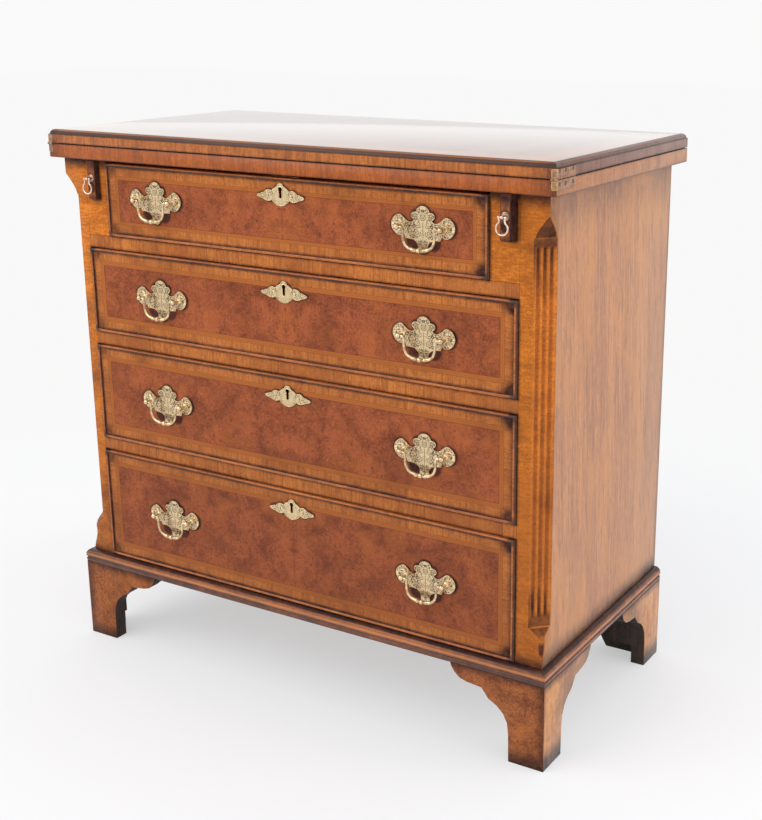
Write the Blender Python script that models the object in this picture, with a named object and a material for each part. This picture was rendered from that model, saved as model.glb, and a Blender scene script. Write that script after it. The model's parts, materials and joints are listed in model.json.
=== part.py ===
"""Bachelor's chest with a fold-over top, four cockbeaded drawers and two lopers.

Metres, +Z up. The chest stands on z = 0 and faces -Y. X = 0 is the middle of the chest and Y = 0 the
middle of its overall depth, from the foremost ring pull to the back edge of the top.
"""

import math

import bmesh
import bpy
from mathutils import Matrix, Vector

# Overall sizes of the carcase and the top
CHEST_HEIGHT = 0.800
CARCASE_WIDTH = 0.7935
CARCASE_DEPTH = 0.382
LEAF_THICKNESS = 0.0195
LEAF_JOINT = 0.001
LEAF_SIDE_OVERHANG = 0.0145
LEAF_FRONT_OVERHANG = 0.0137
LEAF_BACK_OVERHANG = 0.0203
LEAF_ARRIS = 0.0006

# Moulded edge of the upper leaf
EDGE_MOULDING_HEIGHT = 0.0065
EDGE_MOULDING_INSET = 0.0075
EDGE_FILLET = 0.0014

# Clearances
FIT_GAP = 0.0003
SLIDE_GAP = 0.0008
DRAWER_GAP = 0.0012
RUNNER_GAP = 0.0005
TOP_DRAWER_CLEARANCE = 0.0036
LOPER_TOP_GAP = 0.0005
CUT_OVERRUN = 0.005

# Boards
SIDE_THICKNESS = 0.018
BACK_THICKNESS = 0.006
DUST_PANEL_THICKNESS = 0.006
DIVIDER_FRONT_RAIL = 0.050
DIVIDER_BACK_RAIL = 0.040
DIVIDER_RUNNER = 0.060
GUIDE_HEIGHT = 0.014

# Front layout: the drawers' shares of the height left between the rails, from the top drawer down
RAIL_HEIGHT = 0.0189
STILE_WIDTH = 0.03985
LOPER_BLOCK_WIDTH = 0.0409
DRAWER_SHARES = (0.1926, 0.2291, 0.2661, 0.3122)

# Drawers
FRONT_THICKNESS = 0.019
DRAWER_PROUD = 0.0015
BEAD_WIDTH = 0.0042
BEAD_PROUD = 0.0028
BOX_THICKNESS = 0.009
BOX_TOP_DROP = 0.009
BOX_BACK_CLEARANCE = 0.012
DRAWER_PANEL_THICKNESS = 0.005
DRAWER_PANEL_RISE = 0.008
GROOVE_DEPTH = 0.004

# Canted and fluted front corners
CANT_SETBACK = 0.0222
POST_LIP = 0.0008
TOP_STOP_DROP = 0.0240
TOP_STOP_LENGTH = 0.0305
BOTTOM_STOP_RISE = 0.0035
BOTTOM_STOP_LENGTH = 0.0502
FLUTE_RADIUS = 0.0029
FLUTE_PITCH = 0.0086
FLUTE_END_MARGIN = 0.009
FLUTE_LOW_MARGIN = 0.0123
FLUTE_COUNT = 3
FLUTE_SIDES = 10
FLUTE_SET_OUT = 0.0004
TOP_STOP_SHARES = ((0.0, 1.0), (0.03, 0.93), (0.25, 0.82), (0.5, 0.6), (0.77, 0.3), (1.0, 0.0))
BOTTOM_STOP_SHARES = (
    (0.0, 0.0), (0.12, 0.08), (0.26, 0.2), (0.39, 0.29), (0.56, 0.31),
    (0.71, 0.28), (0.82, 0.4), (0.885, 0.58), (0.97, 0.86), (1.0, 0.9), (1.0, 1.0),
)

# Base moulding: shares of how far it stands out and of its height
MOULDING_HEIGHT = 0.0203
MOULDING_FRONT_PROUD = 0.0108
MOULDING_SIDE_PROUD = 0.0101
MOULDING_SHARES = (
    (0.0, 0.0), (0.92, 0.0), (0.92, 0.1), (0.97, 0.13), (0.97, 0.27), (0.86, 0.3), (0.86, 0.37),
    (0.94, 0.4), (1.0, 0.49), (1.0, 0.63), (0.93, 0.76), (0.78, 0.87), (0.56, 0.95), (0.34, 1.0), (0.0, 1.0),
)

# Bracket feet: the outline's shares of the foot's reach and height, from the leg inwards
FOOT_HEIGHT = 0.123
FOOT_REACH = 0.142
REAR_BRACKET_REACH = 0.105
FOOT_LEG_WIDTH = 0.053
FOOT_THICKNESS = 0.0213
FOOT_INSET = 0.0004
FRONT_FOOT_BLOCK_SIZE = 0.018
REAR_FOOT_BLOCK_SIZE = 0.034
FOOT_BLOCK_RISE = 0.030
FOOT_BLOCK_DROP = 0.001
FOOT_EDGE_SLOPE = 0.0006
FOOT_SHARES = (
    (0.0, 0.33), (0.02, 0.46), (0.09, 0.56), (0.2, 0.635), (0.34, 0.69), (0.4, 0.745), (0.46, 0.8),
    (0.53, 0.805), (0.72, 0.82), (0.84, 0.845), (0.93, 0.9), (0.985, 0.96), (1.0, 0.99),
)

REAR_FOOT_SHARES = ((0.46, 0.0), (0.64, 0.13), (0.8, 0.5), (1.0, 0.98))

# Lopers and their ring pulls
LOPER_THICKNESS = 0.0140
LOPER_HEIGHT = 0.0575
LOPER_LENGTH = 0.340
LEFT_LOPER_INSET = 0.0140
RIGHT_LOPER_INSET = 0.0225
LEFT_LOPER_STAND = 0.009
RIGHT_LOPER_STAND = 0.017
LOPER_CHAMFER = 0.0022
PULL_DROP = 0.0265
PULL_POST_LENGTH = 0.0085
PULL_POST_RADIUS = 0.0016
PULL_BALL_RADIUS = 0.0024
PULL_ROSE_RADIUS = 0.0056
PULL_ROSE_THICKNESS = 0.0014
PULL_PIN_RADIUS = 0.0008
PULL_BEAD_RADIUS = 0.0017
PULL_BEAD_OFFSET = 0.0047
PULL_WIRE_RADIUS = 0.00125
PULL_RING_DROP = 0.0215
PULL_RING_HALF_WIDTH = 0.0080
PULL_RING_SHARES = (
    (0.59, 0.0), (0.52, 0.12), (0.49, 0.22), (0.58, 0.323), (0.866, 0.442), (1.0, 0.628), (0.866, 0.814),
    (0.5, 0.95), (0.0, 1.0),
)

# Hinges let into the front corners of both leaves
HINGE_STRAP_LENGTH = 0.049
HINGE_STRAP_HEIGHT = 0.0120
HINGE_STRAP_SUNK = 0.0018
HINGE_STRAP_PROUD = 0.0007
HINGE_RETURN_WIDTH = 0.0074
HINGE_RETURN_THICKNESS = 0.0016
HINGE_KNUCKLE_RADIUS = 0.0019
HINGE_PIN_RADIUS = 0.0008
HINGE_PIN_SET_FORWARD = 0.0005

# Drawer handles: pierced-look batwing plates with swan-neck bails
HANDLE_INSET = 0.0945
TOP_HANDLE_RISE = 0.0048
HANDLE_RISE = 0.0004
PLATE_WIDTH = 0.0936
PLATE_HEIGHT = 0.060
PLATE_THICKNESS = 0.0016
POST_SPACING = 0.064
POST_LENGTH = 0.0105
POST_RADIUS = 0.0024
POST_BALL_RADIUS = 0.0040
POST_HOLE_RADIUS = 0.0021
BAIL_DROP = 0.0280
BAIL_HALF_WIDTH = 0.0235
BAIL_WIRE_RADIUS = 0.0019
BAIL_PIN_RADIUS = 0.0014
BAIL_PIN_DEPTH = 0.0022
BAIL_BEAD_RADIUS = 0.0036
PLATE_SHARES = (
    (0.0, 0.45), (0.107, 0.427), (0.188, 0.367), (0.205, 0.32), (0.246, 0.313), (0.321, 0.3),
    (0.368, 0.258), (0.368, 0.208), (0.321, 0.167), (0.282, 0.143), (0.331, 0.11), (0.417, 0.095),
    (0.513, 0.122), (0.609, 0.183), (0.701, 0.238), (0.791, 0.237), (0.897, 0.188), (0.979, 0.103),
    (1.0, 0.008), (0.962, -0.083), (0.876, -0.162), (0.769, -0.203), (0.662, -0.2), (0.588, -0.173),
    (0.545, -0.257), (0.406, -0.263), (0.288, -0.283), (0.192, -0.333), (0.154, -0.4), (0.15, -0.467),
    (0.096, -0.53), (0.0, -0.55),
)
BAIL_SHARES = (
    (1.12, 0.0, 0.8), (1.0, 0.1, 0.9), (0.99, 0.36, 0.95), (0.96, 0.56, 1.0), (0.85, 0.77, 1.05),
    (0.64, 0.91, 1.15), (0.38, 0.98, 1.45), (0.2, 1.0, 1.3), (0.0, 1.0, 0.9),
)

# Escutcheons with a keyhole
ESCUTCHEON_WIDTH = 0.0776
ESCUTCHEON_HEIGHT = 0.0306
ESCUTCHEON_THICKNESS = 0.0015
TOP_ESCUTCHEON_DROP = 0.0260
ESCUTCHEON_DROP = 0.0315
KEYHOLE_RADIUS = 0.0025
KEYHOLE_SLOT_HALF = 0.0016
KEYHOLE_RISE = 0.0098
KEYHOLE_SLOT_DROP = 0.0024
ESCUTCHEON_SHARES = (
    (0.0, 0.565), (0.09, 0.529), (0.152, 0.418), (0.18, 0.392), (0.271, 0.337), (0.348, 0.261),
    (0.379, 0.229), (0.443, 0.258), (0.528, 0.268), (0.637, 0.212), (0.722, 0.111), (0.786, 0.118),
    (0.871, 0.065), (0.928, 0.059), (1.0, 0.0), (0.979, -0.065), (0.876, -0.118), (0.773, -0.144),
    (0.67, -0.203), (0.541, -0.242), (0.438, -0.216), (0.379, -0.176), (0.271, -0.301), (0.142, -0.399),
    (0.0, -0.435),
)

# Places worked out from the sizes above
DEPTH_AHEAD = RIGHT_LOPER_STAND + PULL_POST_LENGTH + PULL_BALL_RADIUS
FRONT_Y = DEPTH_AHEAD - (DEPTH_AHEAD + CARCASE_DEPTH + LEAF_BACK_OVERHANG) / 2
BACK_Y = FRONT_Y + CARCASE_DEPTH
PANEL_FRONT_Y = BACK_Y - BACK_THICKNESS
POST_BACK_Y = FRONT_Y + CANT_SETBACK + POST_LIP
HALF_CARCASE = CARCASE_WIDTH / 2
LEAF_HALF = HALF_CARCASE + LEAF_SIDE_OVERHANG
LEAF_FRONT_Y = FRONT_Y - LEAF_FRONT_OVERHANG
LEAF_BACK_Y = BACK_Y + LEAF_BACK_OVERHANG
UPPER_BOTTOM_Z = CHEST_HEIGHT - LEAF_THICKNESS
LOWER_TOP_Z = UPPER_BOTTOM_Z - LEAF_JOINT
LEAF_UNDERSIDE_Z = LOWER_TOP_Z - LEAF_THICKNESS
CARCASE_FLOOR_Z = FOOT_HEIGHT + MOULDING_HEIGHT
TOP_OPENING_Z = LEAF_UNDERSIDE_Z - TOP_DRAWER_CLEARANCE
OPENINGS_HEIGHT = TOP_OPENING_Z - CARCASE_FLOOR_Z - (len(DRAWER_SHARES) - 1) * RAIL_HEIGHT
WIDE_OPENING = CARCASE_WIDTH - 2 * STILE_WIDTH
TOP_OPENING = WIDE_OPENING - 2 * LOPER_BLOCK_WIDTH
HANDLE_SPREAD = TOP_OPENING / 2 - HANDLE_INSET
PIN_Y = LEAF_FRONT_Y - HINGE_PIN_SET_FORWARD
PIN_Z = (UPPER_BOTTOM_Z + LOWER_TOP_Z) / 2
KNUCKLE_CLEARANCE = HINGE_KNUCKLE_RADIUS + FIT_GAP
SIDES = (("left", -1), ("right", 1))
CANT_DEPTH = CANT_SETBACK / math.sqrt(2)


def drawer_levels():
    """(number, height, width, bottom z) of each drawer opening, numbered from the top down."""
    levels = []
    top = TOP_OPENING_Z
    for number, share in enumerate(DRAWER_SHARES, start=1):
        height = OPENINGS_HEIGHT * share
        width = TOP_OPENING if number == 1 else WIDE_OPENING
        levels.append((number, height, width, top - height))
        top -= height + RAIL_HEIGHT
    return levels


# Shared modelling helpers


def clear_scene():
    for obj in list(bpy.data.objects):
        bpy.data.objects.remove(obj, do_unlink=True)


def new_material(name, color, roughness, metallic):
    """A Principled material for one finish."""
    material = bpy.data.materials.new(name)
    material.use_nodes = True
    shader = material.node_tree.nodes["Principled BSDF"]
    shader.inputs["Base Color"].default_value = (*color, 1.0)
    shader.inputs["Roughness"].default_value = roughness
    shader.inputs["Metallic"].default_value = metallic
    material.diffuse_color = (*color, 1.0)
    return material


def add_empty(name, location, parent=None):
    empty = bpy.data.objects.new(name, None)
    empty.location = location
    empty.parent = parent
    bpy.context.scene.collection.objects.link(empty)
    return empty


def mesh_of(name, bm, material):
    """The finished mesh of a bmesh, which is used up."""
    bmesh.ops.remove_doubles(bm, verts=bm.verts, dist=1e-6)
    bmesh.ops.recalc_face_normals(bm, faces=bm.faces)
    mesh = bpy.data.meshes.new(name)
    bm.to_mesh(mesh)
    bm.free()
    mesh.materials.append(material)
    return mesh


def add_object(name, mesh, location=(0.0, 0.0, 0.0), parent=None, smooth=False):
    if smooth:
        mesh.shade_smooth()
        mesh.set_sharp_from_angle(angle=math.radians(35))
    obj = bpy.data.objects.new(name, mesh)
    obj.location = location
    obj.parent = parent
    bpy.context.scene.collection.objects.link(obj)
    return obj


def prism(outline, axis, low, high):
    """A flat outline extruded along X, Y or Z; its points are the two other coordinates in order."""
    index = "xyz".index(axis)
    bm = bmesh.new()
    corners = []
    for first, second in outline:
        point = [first, second]
        point.insert(index, low)
        corners.append(bm.verts.new(point))
    face = bm.faces.new(corners)
    step = Vector((0.0, 0.0, 0.0))
    step[index] = high - low
    grown = bmesh.ops.extrude_face_region(bm, geom=[face])
    moved = [item for item in grown["geom"] if isinstance(item, bmesh.types.BMVert)]
    bmesh.ops.translate(bm, verts=moved, vec=step)
    bmesh.ops.recalc_face_normals(bm, faces=bm.faces)
    return bm


def box(low, high):
    """A rectangular block between two corners."""
    outline = [(low[0], low[1]), (high[0], low[1]), (high[0], high[1]), (low[0], high[1])]
    return prism(outline, "z", low[2], high[2])


def sided_box(side, inner, outer, y_range, z_range):
    """A block on the left (-1) or right (1) of the chest, between two distances from X = 0."""
    x_low, x_high = sorted((side * inner, side * outer))
    return box((x_low, y_range[0], z_range[0]), (x_high, y_range[1], z_range[1]))


def lofted(rings):
    """A closed body through rings of corner points, capped at both ends."""
    bm = bmesh.new()
    loops = [[bm.verts.new(point) for point in ring] for ring in rings]
    count = len(loops[0])
    for one, other in zip(loops, loops[1:]):
        for corner in range(count):
            following = (corner + 1) % count
            bm.faces.new((one[corner], one[following], other[following], other[corner]))
    bm.faces.new(loops[0])
    bm.faces.new(loops[-1])
    bmesh.ops.recalc_face_normals(bm, faces=bm.faces)
    return bm


def turned(profile, axis, steps):
    """A profile of (distance along the axis, radius) points turned about X, Y or Z."""
    bm = bmesh.new()
    chain = [bm.verts.new((radius, 0.0, along)) for along, radius in profile]
    edges = [bm.edges.new(pair) for pair in zip(chain, chain[1:])]
    bmesh.ops.spin(
        bm, geom=chain + edges, cent=(0, 0, 0), axis=(0, 0, 1), angle=2 * math.pi, steps=steps, use_merge=True
    )
    bmesh.ops.remove_doubles(bm, verts=bm.verts, dist=1e-6)
    turns = {
        "x": Matrix.Rotation(math.pi / 2, 4, "Y"),
        "y": Matrix.Rotation(-math.pi / 2, 4, "X"),
        "z": Matrix.Identity(4),
    }
    bmesh.ops.transform(bm, matrix=turns[axis], verts=bm.verts)
    bmesh.ops.recalc_face_normals(bm, faces=bm.faces)
    return bm


def rounded_rod(length, radius, axis, steps, rings=2):
    """A rod from 0 to length along an axis, with half-round ends inside that length."""
    arc = [math.pi / 2 * i / rings for i in range(rings + 1)]
    low = [(radius * (1 - math.cos(angle)), radius * math.sin(angle)) for angle in arc]
    high = [(length - along, across) for along, across in reversed(low)]
    return turned(low + high, axis, steps)


def ball(radius, steps=8, rings=6):
    """A sphere about the origin whose poles lie on Y."""
    arc = [math.pi * i / rings for i in range(rings + 1)]
    return turned([(-radius * math.cos(angle), radius * math.sin(angle)) for angle in arc], "y", steps)


def ball_headed(ball_radius, stem_radius, stem_end, rings=5):
    """Profile along +Y of a ball about the origin on a stem that ends at stem_end."""
    neck = math.pi - math.asin(stem_radius / ball_radius)
    arc = [neck * i / rings for i in range(rings + 1)]
    return [(-ball_radius * math.cos(angle), ball_radius * math.sin(angle)) for angle in arc] + [
        (stem_end, stem_radius)
    ]


def cylinder(axis, low, high, radius, steps=10):
    return turned([(low, 0.0), (low, radius), (high, radius), (high, 0.0)], axis, steps)


def moved(bm, offset):
    bmesh.ops.translate(bm, verts=bm.verts, vec=Vector(offset))
    return bm


def wire(points, radius, resolution=1):
    """A round wire through (x, y, z, thickness share) points, with flat ends."""
    curve = bpy.data.curves.new("wire", "CURVE")
    curve.dimensions = "3D"
    curve.bevel_depth = radius
    curve.bevel_resolution = resolution
    curve.use_fill_caps = True
    spline = curve.splines.new("POLY")
    spline.points.add(len(points) - 1)
    for target, (x, y, z, share) in zip(spline.points, points):
        target.co = (x, y, z, 1.0)
        target.radius = share
    holder = bpy.data.objects.new("wire", curve)
    bpy.context.scene.collection.objects.link(holder)
    graph = bpy.context.evaluated_depsgraph_get()
    bm = bmesh.new()
    bm.from_mesh(holder.evaluated_get(graph).to_mesh())
    bpy.data.objects.remove(holder, do_unlink=True)
    bmesh.ops.remove_doubles(bm, verts=bm.verts, dist=1e-6)
    bmesh.ops.recalc_face_normals(bm, faces=bm.faces)
    return bm


def combined(base, tool, operation):
    """The Boolean of two bmeshes, which are both used up."""
    holders = []
    for bm in (base, tool):
        mesh = bpy.data.meshes.new("operand")
        bm.to_mesh(mesh)
        bm.free()
        holder = bpy.data.objects.new("operand", mesh)
        bpy.context.scene.collection.objects.link(holder)
        holders.append(holder)
    modifier = holders[0].modifiers.new("combine", "BOOLEAN")
    modifier.operation = operation
    modifier.object = holders[1]
    graph = bpy.context.evaluated_depsgraph_get()
    result = bmesh.new()
    result.from_mesh(holders[0].evaluated_get(graph).to_mesh())
    for holder in holders:
        bpy.data.objects.remove(holder, do_unlink=True)
    return result


def cut(base, *tools):
    for tool in tools:
        base = combined(base, tool, "DIFFERENCE")
    return base


def united(base, *tools):
    for tool in tools:
        base = combined(base, tool, "UNION")
    return base


def mirrored_outline(half):
    """A closed outline from its right half, which runs from the top middle to the bottom middle."""
    return list(half) + [(-x, z) for x, z in reversed(half[1:-1])]


# The folding top


def leaf_rings(profile):
    """Rings of a leaf with the same moulded edge all round, from (inset, z) points."""
    rings = []
    for inset, z in profile:
        x, front, back = LEAF_HALF - inset, LEAF_FRONT_Y + inset, LEAF_BACK_Y - inset
        rings.append([(-x, front, z), (x, front, z), (x, back, z), (-x, back, z)])
    return rings


def hinge_recesses(leaf, joint_z, direction):
    """Cuts the straps', returns' and knuckles' seats into both front corners of a leaf."""
    depth = HINGE_STRAP_HEIGHT + FIT_GAP
    z_range = sorted((joint_z - direction * CUT_OVERRUN, joint_z + direction * depth))
    strap_y = (LEAF_FRONT_Y - CUT_OVERRUN, LEAF_FRONT_Y + HINGE_STRAP_LENGTH + FIT_GAP)
    return_y = (LEAF_FRONT_Y - CUT_OVERRUN, LEAF_FRONT_Y + HINGE_RETURN_THICKNESS + FIT_GAP)
    inner = LEAF_HALF - HINGE_RETURN_WIDTH - FIT_GAP
    outer = LEAF_HALF + CUT_OVERRUN
    for _, side in SIDES:
        strap = sided_box(side, LEAF_HALF - HINGE_STRAP_SUNK - FIT_GAP, outer, strap_y, z_range)
        corner = sided_box(side, inner, outer, return_y, z_range)
        low, high = sorted((side * inner, side * outer))
        knuckle = moved(cylinder("x", low, high, KNUCKLE_CLEARANCE, 12), (0.0, PIN_Y, PIN_Z))
        leaf = cut(leaf, strap, corner, knuckle)
    return leaf


def add_lower_leaf(wood):
    z0, z1 = LEAF_UNDERSIDE_Z, LOWER_TOP_Z
    profile = [(LEAF_ARRIS, z0), (0.0, z0 + LEAF_ARRIS), (0.0, z1 - LEAF_ARRIS), (LEAF_ARRIS, z1)]
    leaf = hinge_recesses(lofted(leaf_rings(profile)), LOWER_TOP_Z, -1)
    add_object("lower_leaf", mesh_of("lower_leaf", leaf, wood))


def add_upper_leaf(wood, hinge_line):
    """The flap, with a fillet and an ovolo round its upper edge; it turns on the hinge line."""
    z0, z1 = UPPER_BOTTOM_Z, CHEST_HEIGHT
    fillet_z = z1 - EDGE_MOULDING_HEIGHT
    profile = [(LEAF_ARRIS, z0), (0.0, z0 + LEAF_ARRIS), (0.0, fillet_z)]
    for step in range(5):
        angle = math.pi / 2 * step / 4
        inset = EDGE_FILLET + (EDGE_MOULDING_INSET - EDGE_FILLET) * (1 - math.cos(angle))
        profile.append((inset, fillet_z + EDGE_MOULDING_HEIGHT * math.sin(angle)))
    leaf = hinge_recesses(lofted(leaf_rings(profile)), UPPER_BOTTOM_Z, 1)
    moved(leaf, (0.0, -PIN_Y, -PIN_Z))
    add_object("upper_leaf", mesh_of("upper_leaf", leaf, wood), parent=hinge_line)


def hinge_plate(side, direction, joint_z):
    """One half of a hinge: strap on the leaf's end, return on its front edge, and its knuckle."""
    z_range = sorted((joint_z, joint_z + direction * HINGE_STRAP_HEIGHT))
    outer = LEAF_HALF + HINGE_STRAP_PROUD
    inner = LEAF_HALF - HINGE_RETURN_WIDTH
    middle = (inner + outer) / 2
    strap_y = (LEAF_FRONT_Y, LEAF_FRONT_Y + HINGE_STRAP_LENGTH)
    return_y = (LEAF_FRONT_Y, LEAF_FRONT_Y + HINGE_RETURN_THICKNESS)
    plate = united(
        sided_box(side, LEAF_HALF - HINGE_STRAP_SUNK, outer, strap_y, z_range),
        sided_box(side, inner, outer, return_y, z_range),
    )
    # The lower half keeps the outer knuckle, and the upper half the inner one and the pin.
    if direction < 0:
        own, other = (middle + FIT_GAP / 2, outer), (inner - CUT_OVERRUN, middle + FIT_GAP / 2)
    else:
        own, other = (inner, middle - FIT_GAP / 2), (middle - FIT_GAP / 2, outer + CUT_OVERRUN)
    pin_place = (0.0, PIN_Y, PIN_Z)
    clear_low, clear_high = sorted((side * other[0], side * other[1]))
    plate = cut(plate, moved(cylinder("x", clear_low, clear_high, KNUCKLE_CLEARANCE, 12), pin_place))
    low, high = sorted((side * own[0], side * own[1]))
    plate = united(plate, moved(cylinder("x", low, high, HINGE_KNUCKLE_RADIUS, 12), pin_place))
    if direction < 0:
        hole_low, hole_high = sorted((side * (own[0] - CUT_OVERRUN), side * (outer - FIT_GAP)))
        hole = cylinder("x", hole_low, hole_high, HINGE_PIN_RADIUS + FIT_GAP, 8)
        return cut(plate, moved(hole, pin_place))
    pin_low, pin_high = sorted((side * (own[0] + FIT_GAP), side * (outer - 3 * FIT_GAP)))
    return united(plate, moved(cylinder("x", pin_low, pin_high, HINGE_PIN_RADIUS, 8), pin_place))


def add_hinge_plates(brass, hinge_line):
    for word, side in SIDES:
        lower = hinge_plate(side, -1, LOWER_TOP_Z)
        add_object(f"hinge_plate_lower_{word}", mesh_of("hinge_plate_lower", lower, brass))
        upper = moved(hinge_plate(side, 1, UPPER_BOTTOM_Z), (0.0, -PIN_Y, -PIN_Z))
        mesh = mesh_of("hinge_plate_upper", upper, brass)
        add_object(f"hinge_plate_upper_{word}", mesh, parent=hinge_line)


# The carcase


def add_side_panels(wood):
    y_range = (POST_BACK_Y + FIT_GAP, BACK_Y)
    z_range = (FOOT_HEIGHT + FIT_GAP, LEAF_UNDERSIDE_Z - FIT_GAP)
    for word, side in SIDES:
        panel = sided_box(side, HALF_CARCASE - SIDE_THICKNESS, HALF_CARCASE, y_range, z_range)
        add_object(f"side_panel_{word}", mesh_of("side_panel", panel, wood))


def add_back_panel(wood):
    half = HALF_CARCASE - SIDE_THICKNESS - FIT_GAP
    low = (-half, PANEL_FRONT_Y, FOOT_HEIGHT + FIT_GAP)
    high = (half, BACK_Y, LEAF_UNDERSIDE_Z - FIT_GAP)
    add_object("back_panel", mesh_of("back_panel", box(low, high), wood))


def shelf_outline():
    """Plan of a board that fits between the corner posts in front and the side panels behind."""
    narrow = WIDE_OPENING / 2
    wide = HALF_CARCASE - SIDE_THICKNESS - FIT_GAP
    front, step = FRONT_Y, POST_BACK_Y + FIT_GAP
    back = PANEL_FRONT_Y - FIT_GAP
    right = [(narrow, front), (narrow, step), (wide, step), (wide, back)]
    return right + [(-x, y) for x, y in reversed(right)]


def drawer_guides(top_z):
    """The two strips that stand on a shelf and guide the sides of a wide drawer."""
    inner = WIDE_OPENING / 2
    outer = HALF_CARCASE - SIDE_THICKNESS - FIT_GAP
    y_range = (POST_BACK_Y + 2 * FIT_GAP, PANEL_FRONT_Y - 2 * FIT_GAP)
    z_range = (top_z - GUIDE_HEIGHT / 2, top_z + GUIDE_HEIGHT)
    return [sided_box(side, inner, outer, y_range, z_range) for _, side in SIDES]


def add_carcase_bottom(wood):
    board = prism(shelf_outline(), "z", FOOT_HEIGHT + FIT_GAP, CARCASE_FLOOR_Z)
    board = united(board, *drawer_guides(CARCASE_FLOOR_Z))
    add_object("carcase_bottom", mesh_of("carcase_bottom", board, wood))


def add_dividers(wood):
    """Front rail, runners, back rail and dust panel under each of the three upper drawers."""
    for number, _, _, bottom in drawer_levels():
        if number == len(DRAWER_SHARES):
            continue
        top = bottom - FIT_GAP / 2
        low = bottom - RAIL_HEIGHT + FIT_GAP / 2
        frame = prism(shelf_outline(), "z", low, top)
        pocket_x = WIDE_OPENING / 2 - DIVIDER_RUNNER
        pocket_y = (FRONT_Y + DIVIDER_FRONT_RAIL, PANEL_FRONT_Y - DIVIDER_BACK_RAIL)
        middle, half = (top + low) / 2, DUST_PANEL_THICKNESS / 2
        above = box((-pocket_x, pocket_y[0], middle + half), (pocket_x, pocket_y[1], top + CUT_OVERRUN))
        below = box((-pocket_x, pocket_y[0], low - CUT_OVERRUN), (pocket_x, pocket_y[1], middle - half))
        frame = cut(frame, above, below)
        if number > 1:
            frame = united(frame, *drawer_guides(top))
        add_object(f"drawer_divider_{number}", mesh_of("drawer_divider", frame, wood))


def stop_profile():
    """(depth, z) points of the whole canted cut, with its lamb's-tongue stops, from the bottom up."""
    low = CARCASE_FLOOR_Z + BOTTOM_STOP_RISE
    points = [(CANT_DEPTH * depth, low + BOTTOM_STOP_LENGTH * along) for along, depth in BOTTOM_STOP_SHARES]
    high = LEAF_UNDERSIDE_Z - TOP_STOP_DROP - TOP_STOP_LENGTH
    points += [(CANT_DEPTH * depth, high + TOP_STOP_LENGTH * along) for along, depth in TOP_STOP_SHARES]
    return points


def run_out(end, inner):
    """The point outside the arris where the line from inner through end reaches the cut's overrun."""
    slope = (end[1] - inner[1]) / (end[0] - inner[0])
    return (-CUT_OVERRUN, end[1] - slope * (end[0] + CUT_OVERRUN))


def cant_frame(side):
    """Turns (depth inwards, along the cant, z) into chest coordinates at one front corner."""
    inward = Vector((-side, 1, 0)).normalized()
    along = Vector((side, 1, 0)).normalized()
    frame = Matrix((inward, along, Vector((0, 0, 1)))).transposed().to_4x4()
    frame.translation = (side * HALF_CARCASE, FRONT_Y, 0.0)
    return frame


def placed(bm, frame):
    bmesh.ops.transform(bm, matrix=frame, verts=bm.verts)
    bmesh.ops.recalc_face_normals(bm, faces=bm.faces)
    return bm


def add_corner_posts(wood):
    """Stile and canted corner in one, with three flutes between the stops."""
    inner = WIDE_OPENING / 2 + FIT_GAP
    y_range = (FRONT_Y, POST_BACK_Y)
    z_range = (FOOT_HEIGHT + FIT_GAP, LEAF_UNDERSIDE_Z - FIT_GAP)
    profile = stop_profile()
    outline = [run_out(*profile[:2]), *profile[1:-1], run_out(*profile[:-3:-1])]
    flute_low = CARCASE_FLOOR_Z + BOTTOM_STOP_RISE + BOTTOM_STOP_LENGTH + FLUTE_LOW_MARGIN
    flute_high = LEAF_UNDERSIDE_Z - TOP_STOP_DROP - TOP_STOP_LENGTH - FLUTE_END_MARGIN
    for word, side in SIDES:
        frame = cant_frame(side)
        post = sided_box(side, inner, HALF_CARCASE, y_range, z_range)
        post = cut(post, placed(prism(outline, "y", -2 * CANT_SETBACK, 2 * CANT_SETBACK), frame))
        for number in range(FLUTE_COUNT):
            along = FLUTE_PITCH * (number - (FLUTE_COUNT - 1) / 2)
            flute = rounded_rod(flute_high - flute_low, FLUTE_RADIUS, "z", FLUTE_SIDES)
            post = cut(post, placed(moved(flute, (CANT_DEPTH - FLUTE_SET_OUT, along, flute_low)), frame))
        mesh = mesh_of("corner_post", post, wood)
        add_object(f"corner_post_{word}", mesh, smooth=True)


def add_base_moulding(wood):
    """One moulding mitred round the front and both sides of the carcase."""
    stations = ((-1, BACK_Y, 0), (-1, FRONT_Y, 1), (1, FRONT_Y, 1), (1, BACK_Y, 0))
    rings = []
    for side, y, at_front in stations:
        ring = []
        for out, up in MOULDING_SHARES:
            x = HALF_CARCASE + FIT_GAP + (MOULDING_SIDE_PROUD - FIT_GAP) * out
            forward = FIT_GAP + (MOULDING_FRONT_PROUD - FIT_GAP) * out
            z = FOOT_HEIGHT + FIT_GAP + (MOULDING_HEIGHT - FIT_GAP) * up
            ring.append((side * x, y - at_front * forward, z))
        rings.append(ring)
    add_object("base_moulding", mesh_of("base_moulding", lofted(rings), wood))


def bracket_stations(shares, reach):
    """(distance from the corner, lower edge's z) along one bracket, from its tip to the corner."""
    run = reach - FOOT_LEG_WIDTH
    points = [(FOOT_LEG_WIDTH + run * along, FOOT_HEIGHT * up) for along, up in reversed(shares)]
    return points + [(FOOT_LEG_WIDTH - FOOT_EDGE_SLOPE, 0.0)]


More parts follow.
